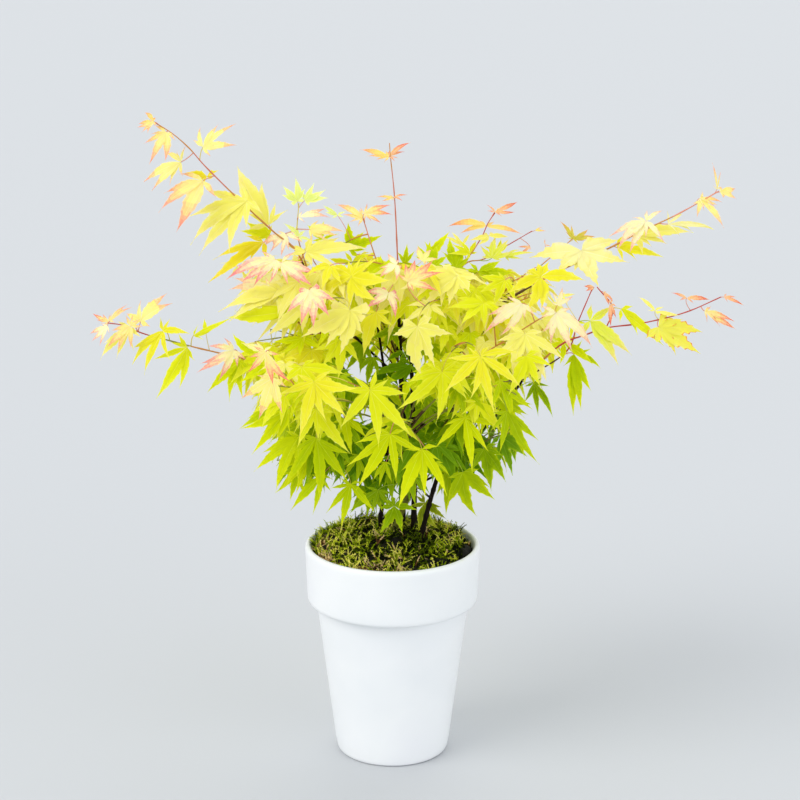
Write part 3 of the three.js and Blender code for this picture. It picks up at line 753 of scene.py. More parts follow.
SHOOTS = {
    "upper_left": (
        [(-62, 2, 448)],
        [(314, 290, 0), (297, 252, 0), (275, 233, 0), (251, 211, 0), (230, 191, 0), (204, 165, 0), (190, 149, 0), (173, 134, 0), (154, 122, 0)],
        (1.0, 0.42),
        (T_BROWN, T_ORANGE, T_ORANGE, T_ROSE, T_ORANGE),
    ),
    "upper_left_second": ([(-62, 2, 448)], [(306, 290, -10), (290, 274, -14), (274, 259, -18)], (0.8, 0.5), (T_BROWN, T_RED, T_RED)),
    "small_left": ([(-62, 2, 448)], [(316, 296, 10), (306, 265, 14), (299, 242, 18), (297, 229, 19), (299, 203, 20)], (0.8, 0.32), (T_BROWN, T_ORANGE, T_ORANGE, K_YELLOW)),
    "top": ([(3.5, 27, 440)], [(399, 300, 25), (397.4, 255, 24), (394.6, 198, 22), (390.5, 157, 20), (389.5, 143, 20)], (0.85, 0.34), (T_BROWN, T_ROSE, T_ROSE, T_ROSE, T_ORANGE)),
    "small_top": ([(3.0, 27, 462)], [(384, 280, 18), (373, 250, 17), (363, 218, 18)], (0.6, 0.35), (T_ORANGE, T_ORANGE, K_PINK)),
    "left": (
        [(-76, -22, 372)],
        [(290, 371, -30), (245, 359, -38), (215, 352, -40), (196, 347.5, -42), (175, 342, -43), (148, 335, -45), (134, 330, -46), (122, 325, -46), (107.5, 323, -46)],
        (1.0, 0.4),
        (T_BROWN, T_ORANGE, T_ORANGE, T_OLIVE, T_RED),
    ),
    "right": (
        [(88, 22, 438)],
        [(494, 308, 20), (517, 294, 20), (558, 271.5, 18), (604, 250.7, 14), (640, 232, 10), (678, 214, 5), (719, 191, 0)],
        (1.2, 0.42),
        (T_BROWN, T_ORANGE, T_ORANGE, T_ORANGE, K_PINK),
    ),
    "lower_right": (
        [(122, -40, 388)],
        [(559, 346, -50), (585, 335, -52), (608, 327.6, -54), (643, 323, -57), (685, 312.5, -62), (721, 297, -67)],
        (0.85, 0.42),
        (T_ORANGE, T_RED, T_RED, T_RED, T_RED),
    ),
    "arch": ([(122, -40, 388)], [(566, 352, -48), (578, 322, -50), (593, 287, -50)], (0.7, 0.4), (T_BROWN, T_RED, T_RED)),
    "arch_second": ([], [(606, 328, -54), (613, 308, -52), (597, 287, -50)], (0.5, 0.35), (T_RED, T_RED)),
    "middle_right": ([(60, -6, 350)], [(455, 374, -40), (481, 356, -62), (505, 340, -64), (524, 328.5, -64), (545, 316, -63), (559, 312.5, -62)], (0.9, 0.45), (T_BROWN, T_ORANGE, T_ORANGE)),
    "back_upper": ([(34, 40, 476)], [(452, 274, 62), (468, 262, 72), (484, 259, 82), (508, 245, 100), (532, 231, 118)], (0.7, 0.35), (T_BROWN, T_ORANGE, T_RED)),
    "back_upper_second": ([(34, 40, 476)], [(462, 262, 70), (480, 240, 82), (488, 223, 90), (495, 213, 94)], (0.6, 0.35), (T_BROWN, T_ORANGE, T_RED)),
    "back_upper_third": ([(88, 22, 438)], [(520, 284, 60), (545, 262, 85), (560, 250, 98), (572, 239, 110)], (0.7, 0.35), (T_BROWN, T_OLIVE, T_ORANGE)),
}

# Two that come towards the camera, behind leaves that show.
FRONT_SHOOTS = [
    ((-76, -22, 372), (-70, -92, 392), (-101, -143, 410)),
    ((122, -40, 388), (96, -82, 396), (110, -128, 398)),
]

for marks in FRONT_SHOOTS:
    path = smooth_path(marks, 5.0)
    add_twig(path, 0.95, 0.5, (T_BROWN, T_ORANGE, T_OLIVE), 7, nodes=(0.3, 0.55, 0.8, 0.97))
    remember(path)

for name, (start, marks, r, colours) in SHOOTS.items():
    points = [np.array(p, float) for p in start] + [at(*m) for m in marks]
    path = smooth_path(points, 5.0)
    add_twig(path, r[0], r[1], colours, 7, nodes=np.linspace(0.15, 0.98, 7))
    remember(path)

# Shoots at the sides, front and back that the picture hides or foreshortens: start, end and arch.
HIDDEN_SHOOTS = [
    ((80, 92, 398), (150, 152, 456), 10, 4),
    ((-74, 82, 404), (-138, 180, 452), 10, 4),
    ((4, 92, 396), (22, 204, 442), 12, 5),
]

# ------------------------------------------------------------------ leaves that show, by picture place

F, M, U = (0, -1, 0.42), (0, -0.75, 0.8), (0, -0.42, 1)

# joint u, v; depth; colour; way it faces; kind; the tips of its lobes
SHOWN_LEAVES = [
    # dome, front
    (309.5, 290, -76, "pink_edge", F, "young", ((287, 313), (301, 324), (313, 328), (329, 316), (335, 300))),
    (266, 352, -154, "salmon_edge", F, "star", ((248, 372), (273, 385), (290, 381), (249, 357))),
    (273, 378, -150, "lemon_tip", F, "open", ((242, 398), (259, 418), (275, 402), (282, 412))),
    (234, 350, -50, "pink_edge", F, "star", ((208, 346.5), (201, 363), (198, 372), (219, 380), (237, 367))),
    (350, 310, -76, "lemon", F, "full", ((303, 336), (326, 346), (340, 353), (363, 333), (361, 319))),
    (376, 312, -64, "yellow", F, "open", ((364, 355), (350, 338), (381, 332), (393, 326))),
    (417.4, 326.5, -105, "lemon", F, "wide", ((393, 335), (411, 354), (422, 376), (434, 365), (452, 334))),
    (351.5, 276.5, -40, "yellow", M, "open", ((319, 293), (348, 308), (377, 300), (390, 280), (377, 259), (330, 268))),
    (370, 390, -132, "yellow_lime", F, "star", ((341, 390), (341, 427), (378, 446), (410, 435), (407, 394), (388, 379))),
    (390, 434, -126, "lime_yellow", F, "slim", ((348, 465), (358, 487), (396, 481), (422, 451), (356, 443))),
    (421.7, 449, -116, "lime_yellow", F, "slim", ((399, 507), (425, 496), (446, 494), (440, 460), (402, 470))),
    (442, 372, -112, "yellow_lime", F, "star", ((398, 409), (436, 421), (466, 399), (408, 383), (468, 376))),
    (480.3, 356.4, -126, "yellow", F, "slim", ((445, 392), (447, 358), (470, 398), (494, 411), (520, 387), (517, 353))),
    (525, 334, -90, "lemon", F, "open", ((495, 358), (513, 376), (546, 380), (563, 359), (497, 341))),
    (465, 418, -100, "lime_yellow", F, "slim", ((436, 447), (472, 471), (488, 451), (500, 427), (445, 425))),
    (477, 402, -106, "yellow_lime", F, "open", ((500, 431), (501, 411), (474, 424), (462, 414))),
    (507, 411, -112, "lime_green", F, "slim", ((500, 451), (524, 457), (538, 462), (537, 439), (491, 430))),
    (484, 449, -46, "green_lime", F, "open", ((505, 481), (491, 490), (503, 456), (472, 470))),
    (463, 472, -60, "lime_green", F, "open", ((477, 515), (494, 499), (489, 487), (447, 504))),
    (435, 462, -104, "lime", F, "thin", ((446, 493), (437, 484), (449, 476))),
    (316, 438, -84, "lime", F, "slim", ((287, 484), (319, 500), (347, 480), (350, 453), (292, 452))),
    (288, 409, -104, "lime_yellow", F, "slim", ((242, 428), (253, 453), (275, 440), (262, 418))),
    (283, 405, -74, "lime", F, "slim", ((239.5, 429), (247, 420), (263, 433))),
    (299, 436, -60, "lime_yellow", F, "slim", ((256, 470), (264, 452), (277, 490), (298, 476))),
    (316, 409, -126, "yellow_lime", F, "star", ((298, 446), (339, 444), (349, 452), (318, 440))),
    (314, 382, -138, "yellow", F, "star", ((280, 394), (300, 436), (346, 416), (357, 388), (326, 420))),
    (302, 367, -118, "yellow_lime", F, "open", ((324, 391), (344, 374), (299, 392), (283, 384))),
    (350.5, 484, -72, "lime", F, "slim", ((327, 512), (341, 527), (374, 511), (331, 488), (366, 494))),
    (321, 477, -62, "lime", F, "slim", ((292, 509), (313, 513), (331, 491), (301, 489))),
    (394, 506, -60, "green_lime", F, "broad", ((379.5, 533), (402, 533), (418, 510.5), (378.5, 508.5), (384.5, 500.5))),
    (425, 503, 4, "olive_leaf", F, "open", ((410.5, 505), (416, 495.5), (442, 507), (445.5, 518.5), (438.5, 528), (419, 530.5))),
    (388.4, 292.7, -56, "pink_edge", M, "young", ((366, 308), (364, 293), (395, 318), (400, 301))),
    (408, 282, -74, "salmon_edge", M, "open", ((405, 264), (415, 260), (432, 261), (443, 273), (437, 291))),
    (396.5, 265, -28, "cream_pink", M, "young", ((379, 278), (380, 268), (388, 254), (396, 281))),
    (422, 261, -4, "lemon_pink", M, "young", ((418, 247), (438, 259), (431, 250))),
    (457, 276, -48, "lemon", M, "wide", ((400, 290), (424, 307), (449, 305), (470, 292), (421, 277))),
    (540.5, 277, -24, "yellow", M, "broad", ((549, 262), (508, 293), (526, 310), (541, 309), (584, 280.5), (516, 281))),
    (522, 303.5, -72, "blush", F, "star", ((485, 333), (500, 335), (488, 315), (513, 326), (524, 319))),
    (556, 313, -74, "blush", F, "star", ((542, 332), (551, 344), (571.6, 350), (591, 346.5), (580, 325), (541, 318))),
    (557.4, 305, -68, "blush", F, "star", ((573, 296.5), (562, 286.5), (551, 292))),
    (483.5, 303, -62, "yellow_lime", M, "open", ((447, 308), (461, 325), (484, 330), (505, 318), (455, 297))),
    (283, 293, -28, "lemon", M, "open", ((221, 311), (232, 320), (235, 300), (278, 314))),
    (306, 252, -2, "lemon", M, "open", ((295.5, 254.5), (339, 238), (364, 248), (340, 270), (312, 267), (322, 262))),
    (270, 290, -12, "blush", M, "open", ((230, 290), (234, 278), (255, 281), (254, 300))),
    (275.5, 259.5, -22, "pink_edge", M, "slim", ((228, 279), (240, 283), (254, 286), (269, 283), (234, 267), (249, 261))),
    (281.5, 262.5, -26, "pink_edge", M, "star", ((288, 285), (301, 284), (312, 286), (318, 273), (303, 261))),
    (286, 234.5, 2, "cream_pink", F, "star", ((261.5, 243.5), (270.5, 252), (281, 256.5), (289, 250), (302, 242.5))),
    (299, 237, 14, "pale_green", M, "open", ((284, 224), (297, 225.5), (306, 231), (313, 241))),
    (275.7, 236.3, 6, "pink_edge", M, "young", ((264, 246), (267, 238), (274, 247))),
    (263.7, 242.3, 8, "gold", M, "star", ((215, 259), (211, 281), (234, 266), (250, 262))),
    (269.7, 235, 16, "yellow_lime", M, "open", ((241, 231), (247, 222), (256, 240), (262, 224))),
    (590, 321, -56, "lime_soft", M, "open", ((611, 306.5), (617, 363), (630, 353.6), (614, 334), (600, 342))),
    (574, 354, -42, "lime", F, "slim", ((573.5, 413), (581, 408), (591, 390), (599.5, 368), (590, 349))),
    (533.5, 383, -30, "green_lime", F, "thin", ((552, 416), (538, 415), (549, 386), (524, 402))),
    (526, 356, -104, "yellow_lime", F, "open", ((509, 394), (540, 386), (524, 384), (552, 366))),
    (500, 436, -20, "green", F, "open", ((512, 474), (496, 468), (526, 456), (522, 440))),
    (241, 360, -42, "lime_yellow", F, "star", ((209, 391), (230, 400), (243, 397))),
    (285, 396, -128, "yellow_lime", F, "open", ((254, 412), (262, 428), (281, 424))),
    (345, 418, -70, "lime_yellow", F, "open", ((352, 454), (334, 440), (366, 438))),
    (298, 466, -40, "lime", F, "slim", ((276, 492), (290, 500), (304, 494), (278, 476))),
    (452, 352, -84, "yellow_lime", F, "open", ((462, 389), (444, 380), (478, 374))),
    (500, 380, -108, "lime", F, "slim", ((512, 421), (490, 410), (531, 408))),
    (504, 398, -60, "lime_green", F, "open", ((531, 404), (527, 414), (512, 420), (494, 412))),
    (340, 340, -60, "yellow_lime", F, "open", ((322, 366), (338, 378), (358, 362), (314, 350))),
    (330, 266, -30, "yellow", M, "open", ((322, 290), (306, 276), (342, 284))),
    (430, 306, -70, "lemon", M, "open", ((404, 322), (426, 330), (446, 318), (408, 306))),
    (515, 350, -60, "yellow_lime", M, "open", ((490, 362), (505, 374), (526, 370))),
    (455, 300, -40, "yellow", M, "open", ((478, 317), (458, 324), (438, 316))),
    (505, 280, -20, "yellow_lime", M, "open", ((480, 292), (494, 306), (515, 302), (480, 276))),
    (306, 303, -50, "lemon", F, "open", ((268, 335), (283, 322), (302, 333), (322, 322))),
    (303, 338, -34, "lime_yellow", M, "open", ((273, 341), (282, 353), (300, 357), (323, 349))),
    (322, 352, -30, "yellow_lime", M, "open", ((300, 362), (316, 374), (334, 368), (342, 354))),
    (470, 333, -40, "lime_yellow", M, "open", ((452, 350), (470, 360), (488, 349))),
    (548, 345, -30, "yellow_lime", F, "open", ((539, 367), (552, 372), (563, 360), (533, 352))),
    (446, 326, -40, "yellow_lime", M, "open", ((428, 340), (440, 354), (460, 346))),
    (455, 268, 60, "lime", M, "open", ((450, 239), (462, 246), (442, 252), (469, 258))),
    (492, 258, 70, "lime_soft", M, "open", ((496, 237), (508, 240), (512, 251), (481, 246))),
    (478, 272, 40, "lime", M, "star", ((514, 272), (500, 261), (507, 282), (468, 262))),
    (434, 266, 30, "lime", M, "open", ((425, 243), (437, 246), (447, 256), (420, 254))),
    (288, 311, -40, "yellow_lime", F, "open", ((229, 317), (258, 323), (276, 332), (262, 305))),
    (254, 353, -64, "lime_yellow", F, "open", ((233.5, 334), (244, 342), (262, 344))),
    (264, 351, -110, "lemon_pale", F, "open", ((242, 343), (256, 341), (272, 346))),
    (352, 262, 10, "yellow_lime", M, "open", ((329, 258), (345, 252), (372, 254), (366, 266))),
    (380, 268, 0, "lime_yellow", M, "open", ((360, 262), (381, 255), (396, 264))),
    (564, 343, -44, "lime_yellow", F, "open", ((546, 351), (560, 364), (580, 353), (592, 364), (577, 337))),
    (573, 322, -40, "yellow_lime", F, "slim", ((570, 341), (584, 336), (588, 324))),
    (562, 296, -30, "lemon", M, "open", ((553, 306), (568, 305), (575, 294))),
    (373, 357, -10, "green_lime", F, "star", ((360, 372), (367, 386), (379, 375))),
    (430, 407, -40, "green_lime", F, "slim", ((407, 418), (410, 431), (425, 435), (438, 428))),
    (358, 455, -44, "lime_green", F, "slim", ((343, 478), (356, 483), (369, 477), (337, 467))),
    (378, 490, -50, "green_lime", F, "star", ((350, 511), (358, 500), (372, 513), (389, 508))),
    (391, 468, -36, "green_lime", F, "slim", ((393, 501), (401, 488), (384, 487))),
    (379, 484, -28, "green", F, "open", ((371, 500), (385, 503), (389, 492), (366, 491))),
    (386, 462, -70, "lime", F, "slim", ((379.5, 485.5), (374, 480), (392, 482))),
    (308, 455, -50, "lime_yellow", F, "slim", ((282, 489), (296, 493), (309, 489), (279, 474))),
    (414, 476, -60, "green_lime", F, "slim", ((404, 497), (416, 505), (427, 495))),
    # inside, seen between the others
    (392, 330, 6, "green_lime", M, "open", ((371, 340), (382, 351), (400, 350), (411, 338))),
    (404, 352, 20, "green", M, "open", ((386, 362), (398, 374), (415, 367))),
    (384, 368, 4, "green_dark", M, "open", ((367, 388), (383, 397), (398, 387))),
    (430, 345, -6, "lime_green", M, "open", ((417, 364), (432, 375), (447, 361))),
    (345, 395, -30, "lime_green", F, "open", ((329, 412), (346, 421), (360, 411))),
    (330, 420, -20, "green_lime", F, "open", ((315, 440), (331, 447), (346, 437))),
    (425, 395, -30, "green_lime", F, "open", ((410, 411), (424, 420), (440, 409))),
    (468, 428, -16, "green", F, "open", ((455, 448), (470, 458), (484, 446))),
    (364, 341, 8, "green_lime", F, "star", ((332, 363), (345, 371), (360, 374), (374, 362), (340, 350))),
    (411, 365, -6, "green", M, "open", ((369, 378), (384, 386), (404, 384), (380, 368))),
    (436, 400, -22, "green", F, "open", ((426, 418), (438, 420), (446, 412))),
    (356, 446, -24, "green_lime", F, "open", ((338, 466), (350, 476), (366, 468), (340, 452))),
    (365, 486, -22, "green_lime", F, "open", ((350, 513), (366, 517), (382, 511), (352, 498))),
    (374, 482, 10, "green", F, "open", ((386, 508), (372, 512), (392, 494))),
    (343, 452, 6, "green", F, "open", ((328, 470), (340, 478), (354, 468))),
    (449, 468, -30, "lime_green", F, "slim", ((446, 515), (436, 496), (460, 494))),
    (380, 470, 30, "green_dark", F, "open", ((368, 494), (380, 500), (394, 490))),
    (408, 392, 20, "green", F, "open", ((396, 414), (408, 420), (422, 410))),
    (512, 432, 10, "green", F, "open", ((530, 452), (516, 462), (500, 456))),
    # long shoot, upper left
    (247, 201, -6, "lemon", M, "star", ((192, 215.5), (193, 243), (201, 253), (230, 250), (246.5, 227.5), (208, 190))),
    (269, 225, 8, "lemon", M, "slim", ((239, 169), (262.6, 184), (274.5, 206), (246, 214))),
    (203, 180.7, -2, "peach", M, "star", ((160.6, 211), (177.5, 230.5), (165.7, 192.8), (196.5, 206.5))),
    (207, 176.4, 8, "gold", M, "young", ((187, 172.5), (218.4, 170.5), (200, 180))),
    (203, 147, 5, "lemon_tip", F, "star", ((200.6, 128), (217.6, 125), (234.6, 124.6), (235.4, 145), (224, 147))),
    (181, 162, 0, "lemon_tip", M, "star", ((145.5, 181), (153, 189.5), (170, 184), (177.6, 153.5), (166, 154))),
    (166, 132, -2, "peach", M, "star", ((144.5, 143.3), (150, 163), (165, 161), (151, 134))),
    (153.5, 121.5, 0, "orange", M, "young", ((145, 113), (139, 124), (150, 115))),
    (154, 122, -3, "peach", M, "young", ((142, 132), (148, 133), (138, 127))),
    # small shoots on top
    (297.4, 201.3, 19, "pale_green", F, "young", ((283, 186), (295, 178), (305, 189), (282, 195))),
    (304.7, 200.5, 20, "pale_green", F, "young", ((314, 183), (325, 190), (328, 198))),
    (298.5, 217.5, 16, "cream_pink", M, "slim", ((325, 209), (329, 218))),
    (309.5, 229.5, 16, "lemon_pink", M, "star", ((331, 225.5), (343, 231.5), (338, 236), (326, 240))),
    (363, 218, 18, "peach", M, "star", ((336, 205), (343, 214), (350, 222))),
    (364, 214, 16, "salmon_edge", M, "slim", ((367, 203.5), (390, 205.5), (392, 215), (381, 223), (371, 221))),
    (337.5, 215.5, 20, "pale_green", F, "star", ((323.5, 205.5), (325, 212), (346, 211.5))),
    (349, 249, 22, "lime", M, "broad", ((337, 242), (348, 223), (364, 232), (381, 236), (366, 250))),
    (389, 156.5, 20, "orange", M, "thin", ((361, 150), (368, 156), (376, 160))),
    (389, 156.5, 20, "red", M, "thin", ((410, 143), (404, 152), (398, 158))),
    (393, 197.5, 22, "orange", M, "thin", ((377, 197), (382, 201))),
    (393, 197.5, 22, "red", M, "thin", ((407, 195), (402, 201))),
    # left shoot
    (206, 333, -41, "yellow_lime", F, "young", ((204.5, 319), (211, 328))),
    (193.5, 335.5, -42, "yellow_lime", F, "strip", ((232, 317.5), (214, 328))),
    (187, 347, -46, "yellow_lime", F, "slim", ((157, 397), (179.5, 387), (154, 359), (173, 343))),
    (163, 331, -54, "yellow", F, "slim", ((134.5, 347), (134, 363), (145, 373), (170, 359), (161, 319.5), (169, 320.5), (190, 334))),
    (131, 326, -52, "peach", F, "star", ((143, 326), (112, 331), (108, 347), (119, 351), (131, 348), (126, 316))),
    (130, 328, -47, "lemon", F, "star", ((101, 359), (104, 343), (117, 357.5), (134, 350))),
    (140.5, 321.5, -44, "lemon_tip", F, "open", ((141, 301), (165.5, 294.5), (171.5, 304), (127, 314))),
    (107.5, 326, -48, "cream_pink", F, "star", ((92, 341), (100, 345), (90, 334))),
    (110, 321, -46, "peach", F, "thin", ((127, 305), (131, 308))),
    (109, 322, -46, "salmon_edge", F, "star", ((93, 313.5), (97, 320), (103, 314))),
    # right shoot
    (717, 189.4, 0, "peach", F, "strip", ((712.4, 164), (720.6, 172.6))),
    (720, 192, 0, "lemon_pink", M, "young", ((735, 188.3), (736, 199), (729, 190))),
    (701.3, 201, 0, "lemon_pink", M, "star", ((723, 227), (697, 217.7), (713, 214), (717, 205), (712, 196))),
    (699.5, 198.5, 1, "peach", M, "slim", ((721.5, 202), (715, 208), (704, 210))),
    (646, 221, 6, "blush", M, "slim", ((610.5, 236), (618, 250.5), (630, 252.4), (645.6, 238), (662.4, 211), (664.5, 243))),
    (668, 224, 8, "lemon_pale", M, "strip", ((712, 229.3), (690.8, 231), (682, 214))),
    (636, 236, 12, "lemon", M, "open", ((690.8, 232.6), (666, 243.5), (650, 246))),
    (617, 247.5, 14, "yellow", M, "star", ((661.4, 256.6), (636, 260.8), (637, 244))),
    (581.5, 250.5, 10, "lemon_pale", M, "full", ((531.5, 257.3), (557, 273), (574, 271.5), (587, 277), (599, 287), (627.5, 262.3), (619, 240), (599, 238))),
    # lower right shoot
    (724, 297, -68, "red", M, "thin", ((743, 305), (735, 297))),
    (686.6, 298, -62, "red", M, "star", ((672, 292.8), (708.5, 299.6))),
    (704.4, 311, -66, "salmon_edge", F, "slim", ((735, 328.4), (733, 321), (719, 326), (714, 317))),
    (658.5, 327, -64, "lemon_red", F, "wide", ((657, 341.6), (675, 354), (698.5, 352.5), (701.3, 332), (682.4, 319.6))),
    (621, 309, -56, "yellow_lime", M, "slim", ((662, 344), (645, 322), (637, 334))),
    (655, 311, -58, "lemon", M, "thin", ((638.5, 297.4), (681, 315), (664, 307))),
    (594, 287, -50, "red", F, "young", ((584, 286), (586, 291))),
    (611, 303.5, -52, "red", F, "thin", ((608, 299), (611, 327), (616, 318))),
    (603, 292, -50, "red", F, "thin", ((609.5, 306), (613, 302), (606, 297))),
    # back, over the top right
    (495, 212, 94, "red", M, "thin", ((487, 205), (517, 202), (514, 212))),
    (486, 226, 90, "orange", M, "thin", ((449, 227), (460, 234), (521, 234), (505, 229))),
    (489, 236, 86, "lemon", M, "young", ((470, 240), (478, 245), (508, 237))),
    (535, 230.5, 118, "orange", M, "thin", ((546, 231), (542, 227))),
    (530, 247, 106, "red", M, "thin", ((518, 247), (520, 254))),
    (545, 244.5, 104, "red", F, "thin", ((545, 239), (551, 246))),
    (573, 239, 110, "lime_orange", F, "slim", ((560, 221.5), (571, 225), (566, 232))),
    (573, 239, 110, "lime_orange", M, "slim", ((594.5, 236.5), (587.5, 229.5), (585, 240))),
    (427, 259, 60, "lime_yellow", F, "open", ((449, 232), (430, 241), (442, 243), (418, 246))),
    (404.5, 264.6, 40, "lime", F, "open", ((407, 244), (415, 251), (397, 252))),
    (497, 253, 84, "yellow_lime", M, "open", ((501, 239), (508, 244), (484, 246), (482, 258))),
    (505, 257, 80, "lime_soft", M, "thin", ((534, 253), (523, 259), (520, 250))),
    (470, 254, 76, "yellow_lime", M, "open", ((452, 244), (460, 240), (448, 254), (476, 241))),
    (322, 240, 30, "lime_yellow", M, "open", ((308, 226), (324, 222), (338, 234))),
    (462, 246, 90, "lemon", M, "thin", ((444, 237), (452, 233), (470, 234))),
]

leaf_sets = {}  # region -> Pile


def region_of(p):
    if p[2] > 432 and abs(p[0]) < 130:
        return "top_front" if p[1] < 20 else "top_back"
    if p[0] < -58:
        return "left" if p[1] < 20 else "back_left"
    if p[0] > 72:
        return "right" if p[1] < 20 else "back_right"
    return "front" if p[1] < 20 else "back"


def pile_for(p):
    return leaf_sets.setdefault(region_of(p), Pile())


def nearest(p, a, n):
    """Where the stalk of a leaf at p starts, if the leaf points along a and faces along n."""
    cloud = np.array(skeleton_points)
    gap = np.linalg.norm(cloud - p, axis=1)
    # A start that lies further out than the leaf costs more, so that twigs run outwards.
    out = np.hypot(cloud[:, 0], cloud[:, 1]) - math.hypot(p[0], p[1])
    cost = gap + 0.8 * np.maximum(0, out) + 0.5 * np.maximum(0, cloud[:, 2] - p[2] - 4)
    # So does one that lies to the side of the line from the plant's axis, under the blade or in front of it.
    radial = unit([p[0] - 8, p[1] - 6, 0.0])
    aside = (cloud - p) @ np.array([-radial[1], radial[0], 0.0])
    cost = cost + 0.8 * np.abs(aside)
    cost = cost + 0.9 * np.maximum(0, (cloud - p) @ a) + 2.0 * np.maximum(0, (cloud - p) @ n - 2.0)
    return cloud[int(np.argmin(cost))]


own = np.random.default_rng(7)
waiting = []
for u, v, y, colour, faces_way, kind, tips in SHOWN_LEAVES:
    waiting.append((*shown_leaf(u, v, y, colour, faces_way, kind, tips, own), colour))

# Each leaf's stalk, with a twig behind it where the next limb is far.
waiting.sort(key=lambda w: float(np.min(np.linalg.norm(np.array(skeleton_points) - w[0], axis=1))))
for j, length, a, n, colour in waiting:
    start = nearest(j, a, n)
    gap = float(np.linalg.norm(j - start))
    tint = stalk_colour(colour, own)
    if gap > 34:
        fork = j + (start - j) / gap * 14.0 - a * 9.0 - n * 5.0
        mid = 0.5 * (start + fork) + np.array([0, 0, 0.10 * gap])
        path = bezier(start, mid, fork, max(4, int(gap / 6)))
        young = j[2] > 395 or colour in ("pink_edge", "salmon_edge", "cream_pink", "peach", "lemon_pink", "lemon_pale")
        add_twig(path, 0.75, 0.5, (T_ORANGE, T_OLIVE) if young else (T_BROWN, T_OLIVE), 6)
        remember(path)
        start = fork
    if float(np.linalg.norm(j - start)) > 0.5:
        wide = length > 24
        add_stalk(start, j, tint, 0.10, 0.5 if wide else 0.36, 0.36 if wide else 0.26, unit(-a - 0.45 * n))

# ------------------------------------------------------------------ leaves grown by rule

# Centre, half-sizes, limb that feeds it, number of side shoots, for each pad of the frame.
PADS = {
    "foliage_top": ((8, 8, 462), (78, 74, 50), "bough_top", 13),
    "foliage_upper_left": ((-94, 0, 460), (68, 62, 46), "bough_upper_left", 12),
    "foliage_upper_right": ((110, 22, 456), (64, 62, 46), "bough_upper_right", 12),
    "foliage_left": ((-114, -28, 388), (66, 58, 46), "bough_left", 21),
    "foliage_right": ((146, -34, 394), (56, 54, 48), "bough_right", 22),
    "foliage_lower_left": ((-74, -24, 316), (56, 54, 48), "bough_lower_left", 21),
    "foliage_lower_right": ((90, -12, 320), (52, 56, 50), "bough_lower_right", 21),
    "foliage_front": ((2, -98, 384), (86, 44, 56), "bough_front", 30),
    "foliage_low_front": ((20, -56, 292), (56, 34, 38), "bough_low_front", 22),
    "foliage_back": ((2, 118, 402), (74, 48, 58), "bough_back", 15),
    "foliage_back_left": ((-102, 94, 410), (62, 54, 50), "bough_back_left", 14),
    "foliage_back_right": ((108, 102, 406), (62, 54, 50), "bough_back_right", 14),
    "foliage_low_back": ((14, 78, 310), (60, 42, 44), "bough_low_back", 18),
}


def colour_at(p, tipness, own):
    """Lemon on top and outside, lime lower down, green inside and low; the youngest are edged pink."""
    out = math.hypot(p[0] - 8, p[1]) / 165.0
    high = (p[2] - 300) / 200.0
    light = 0.16 + 0.49 * high + 0.42 * out + own.normal(0, 0.12)
    light = min(light, 0.34 + 0.85 * high)
    if p[0] > 40 and high < 0.5:
        light -= 0.08
    if abs(p[0] - 10) < 80 and -70 < p[1] < 60 and high < 0.62:
        light -= 0.20  # inside
    if tipness > 0.8 and high > 0.74 and out > 0.5 and own.random() < 0.34:
        return ("pink_edge", "salmon_edge", "lemon_pink", "cream_pink")[int(own.integers(4))]
    ladder = (
        "green_dark", "green", "green_lime", "lime_green", "lime", "lime_yellow", "yellow_lime",
        "yellow", "lemon", "lemon", "lemon_pale", "lemon_pale",
    )
    return ladder[int(np.clip(light * 11.0, 0, 11))]


# The crown's outline from the front, as picture places round it, without what the placed leaves add to it,
# and the gaps in it through which the wall shows: place and radius.
OUTLINE = (
    (234, 268), (262, 250), (300, 248), (346, 250), (400, 258), (452, 252), (480, 264), (508, 274), (530, 276), (548, 268),
    (570, 276), (566, 300), (576, 330), (562, 352), (546, 366), (540, 392), (530, 430), (504, 470),
    (470, 500), (436, 522), (372, 524), (330, 500), (292, 482), (264, 452), (262, 430), (258, 404),
    (234, 386), (222, 370), (228, 350), (262, 345), (284, 341), (288, 325), (262, 318), (240, 308), (236, 285),
)
GAPS = ((352, 373, 8), (363, 420, 7), (338, 427, 7), (341, 450, 5), (535, 305, 8), (486, 431, 7), (432, 488, 9))
CELL, CELLS = 2.0, 400


def picture_cells(points):
    """Row and column of the picture's grid for each point."""
    reach, down = points[:, 1] + CAM_BACK, points[:, 2] - CAM_UP
    depth = reach * math.cos(PITCH) - down * math.sin(PITCH)
    u = AXIS_U + FOCAL_PX * points[:, 0] / depth
    v = 400.0 - FOCAL_PX * (reach * math.sin(PITCH) + down * math.cos(PITCH)) / depth
    return np.clip((v / CELL).astype(int), 0, CELLS - 1), np.clip((u / CELL).astype(int), 0, CELLS - 1)


# How near the foremost of the placed leaves is in each cell, and where the crown is closed.
shown_depth = np.full((CELLS, CELLS), 1e9)
for pile in leaf_sets.values():
    corners = np.concatenate(pile.points)[np.array(pile.faces)]
    middles = (corners + np.roll(corners, 1, axis=1)) / 2
    for spots in (corners.reshape(-1, 3), middles.reshape(-1, 3), corners.mean(axis=1)):
        row, col = picture_cells(spots)
        np.minimum.at(shown_depth, (row, col), spots[:, 1])

cell_v, cell_u = np.mgrid[0:CELLS, 0:CELLS] * CELL + CELL / 2
closed = np.zeros((CELLS, CELLS), bool)
for (ua, va), (ub, vb) in zip(OUTLINE, OUTLINE[1:] + OUTLINE[:1]):
    if va != vb:
        crossed = (va > cell_v) != (vb > cell_v)
        closed ^= crossed & (cell_u < ua + (cell_v - va) / (vb - va) * (ub - ua))
for u, v, r in GAPS:
    closed &= np.hypot(cell_u - u, cell_v - v) > r


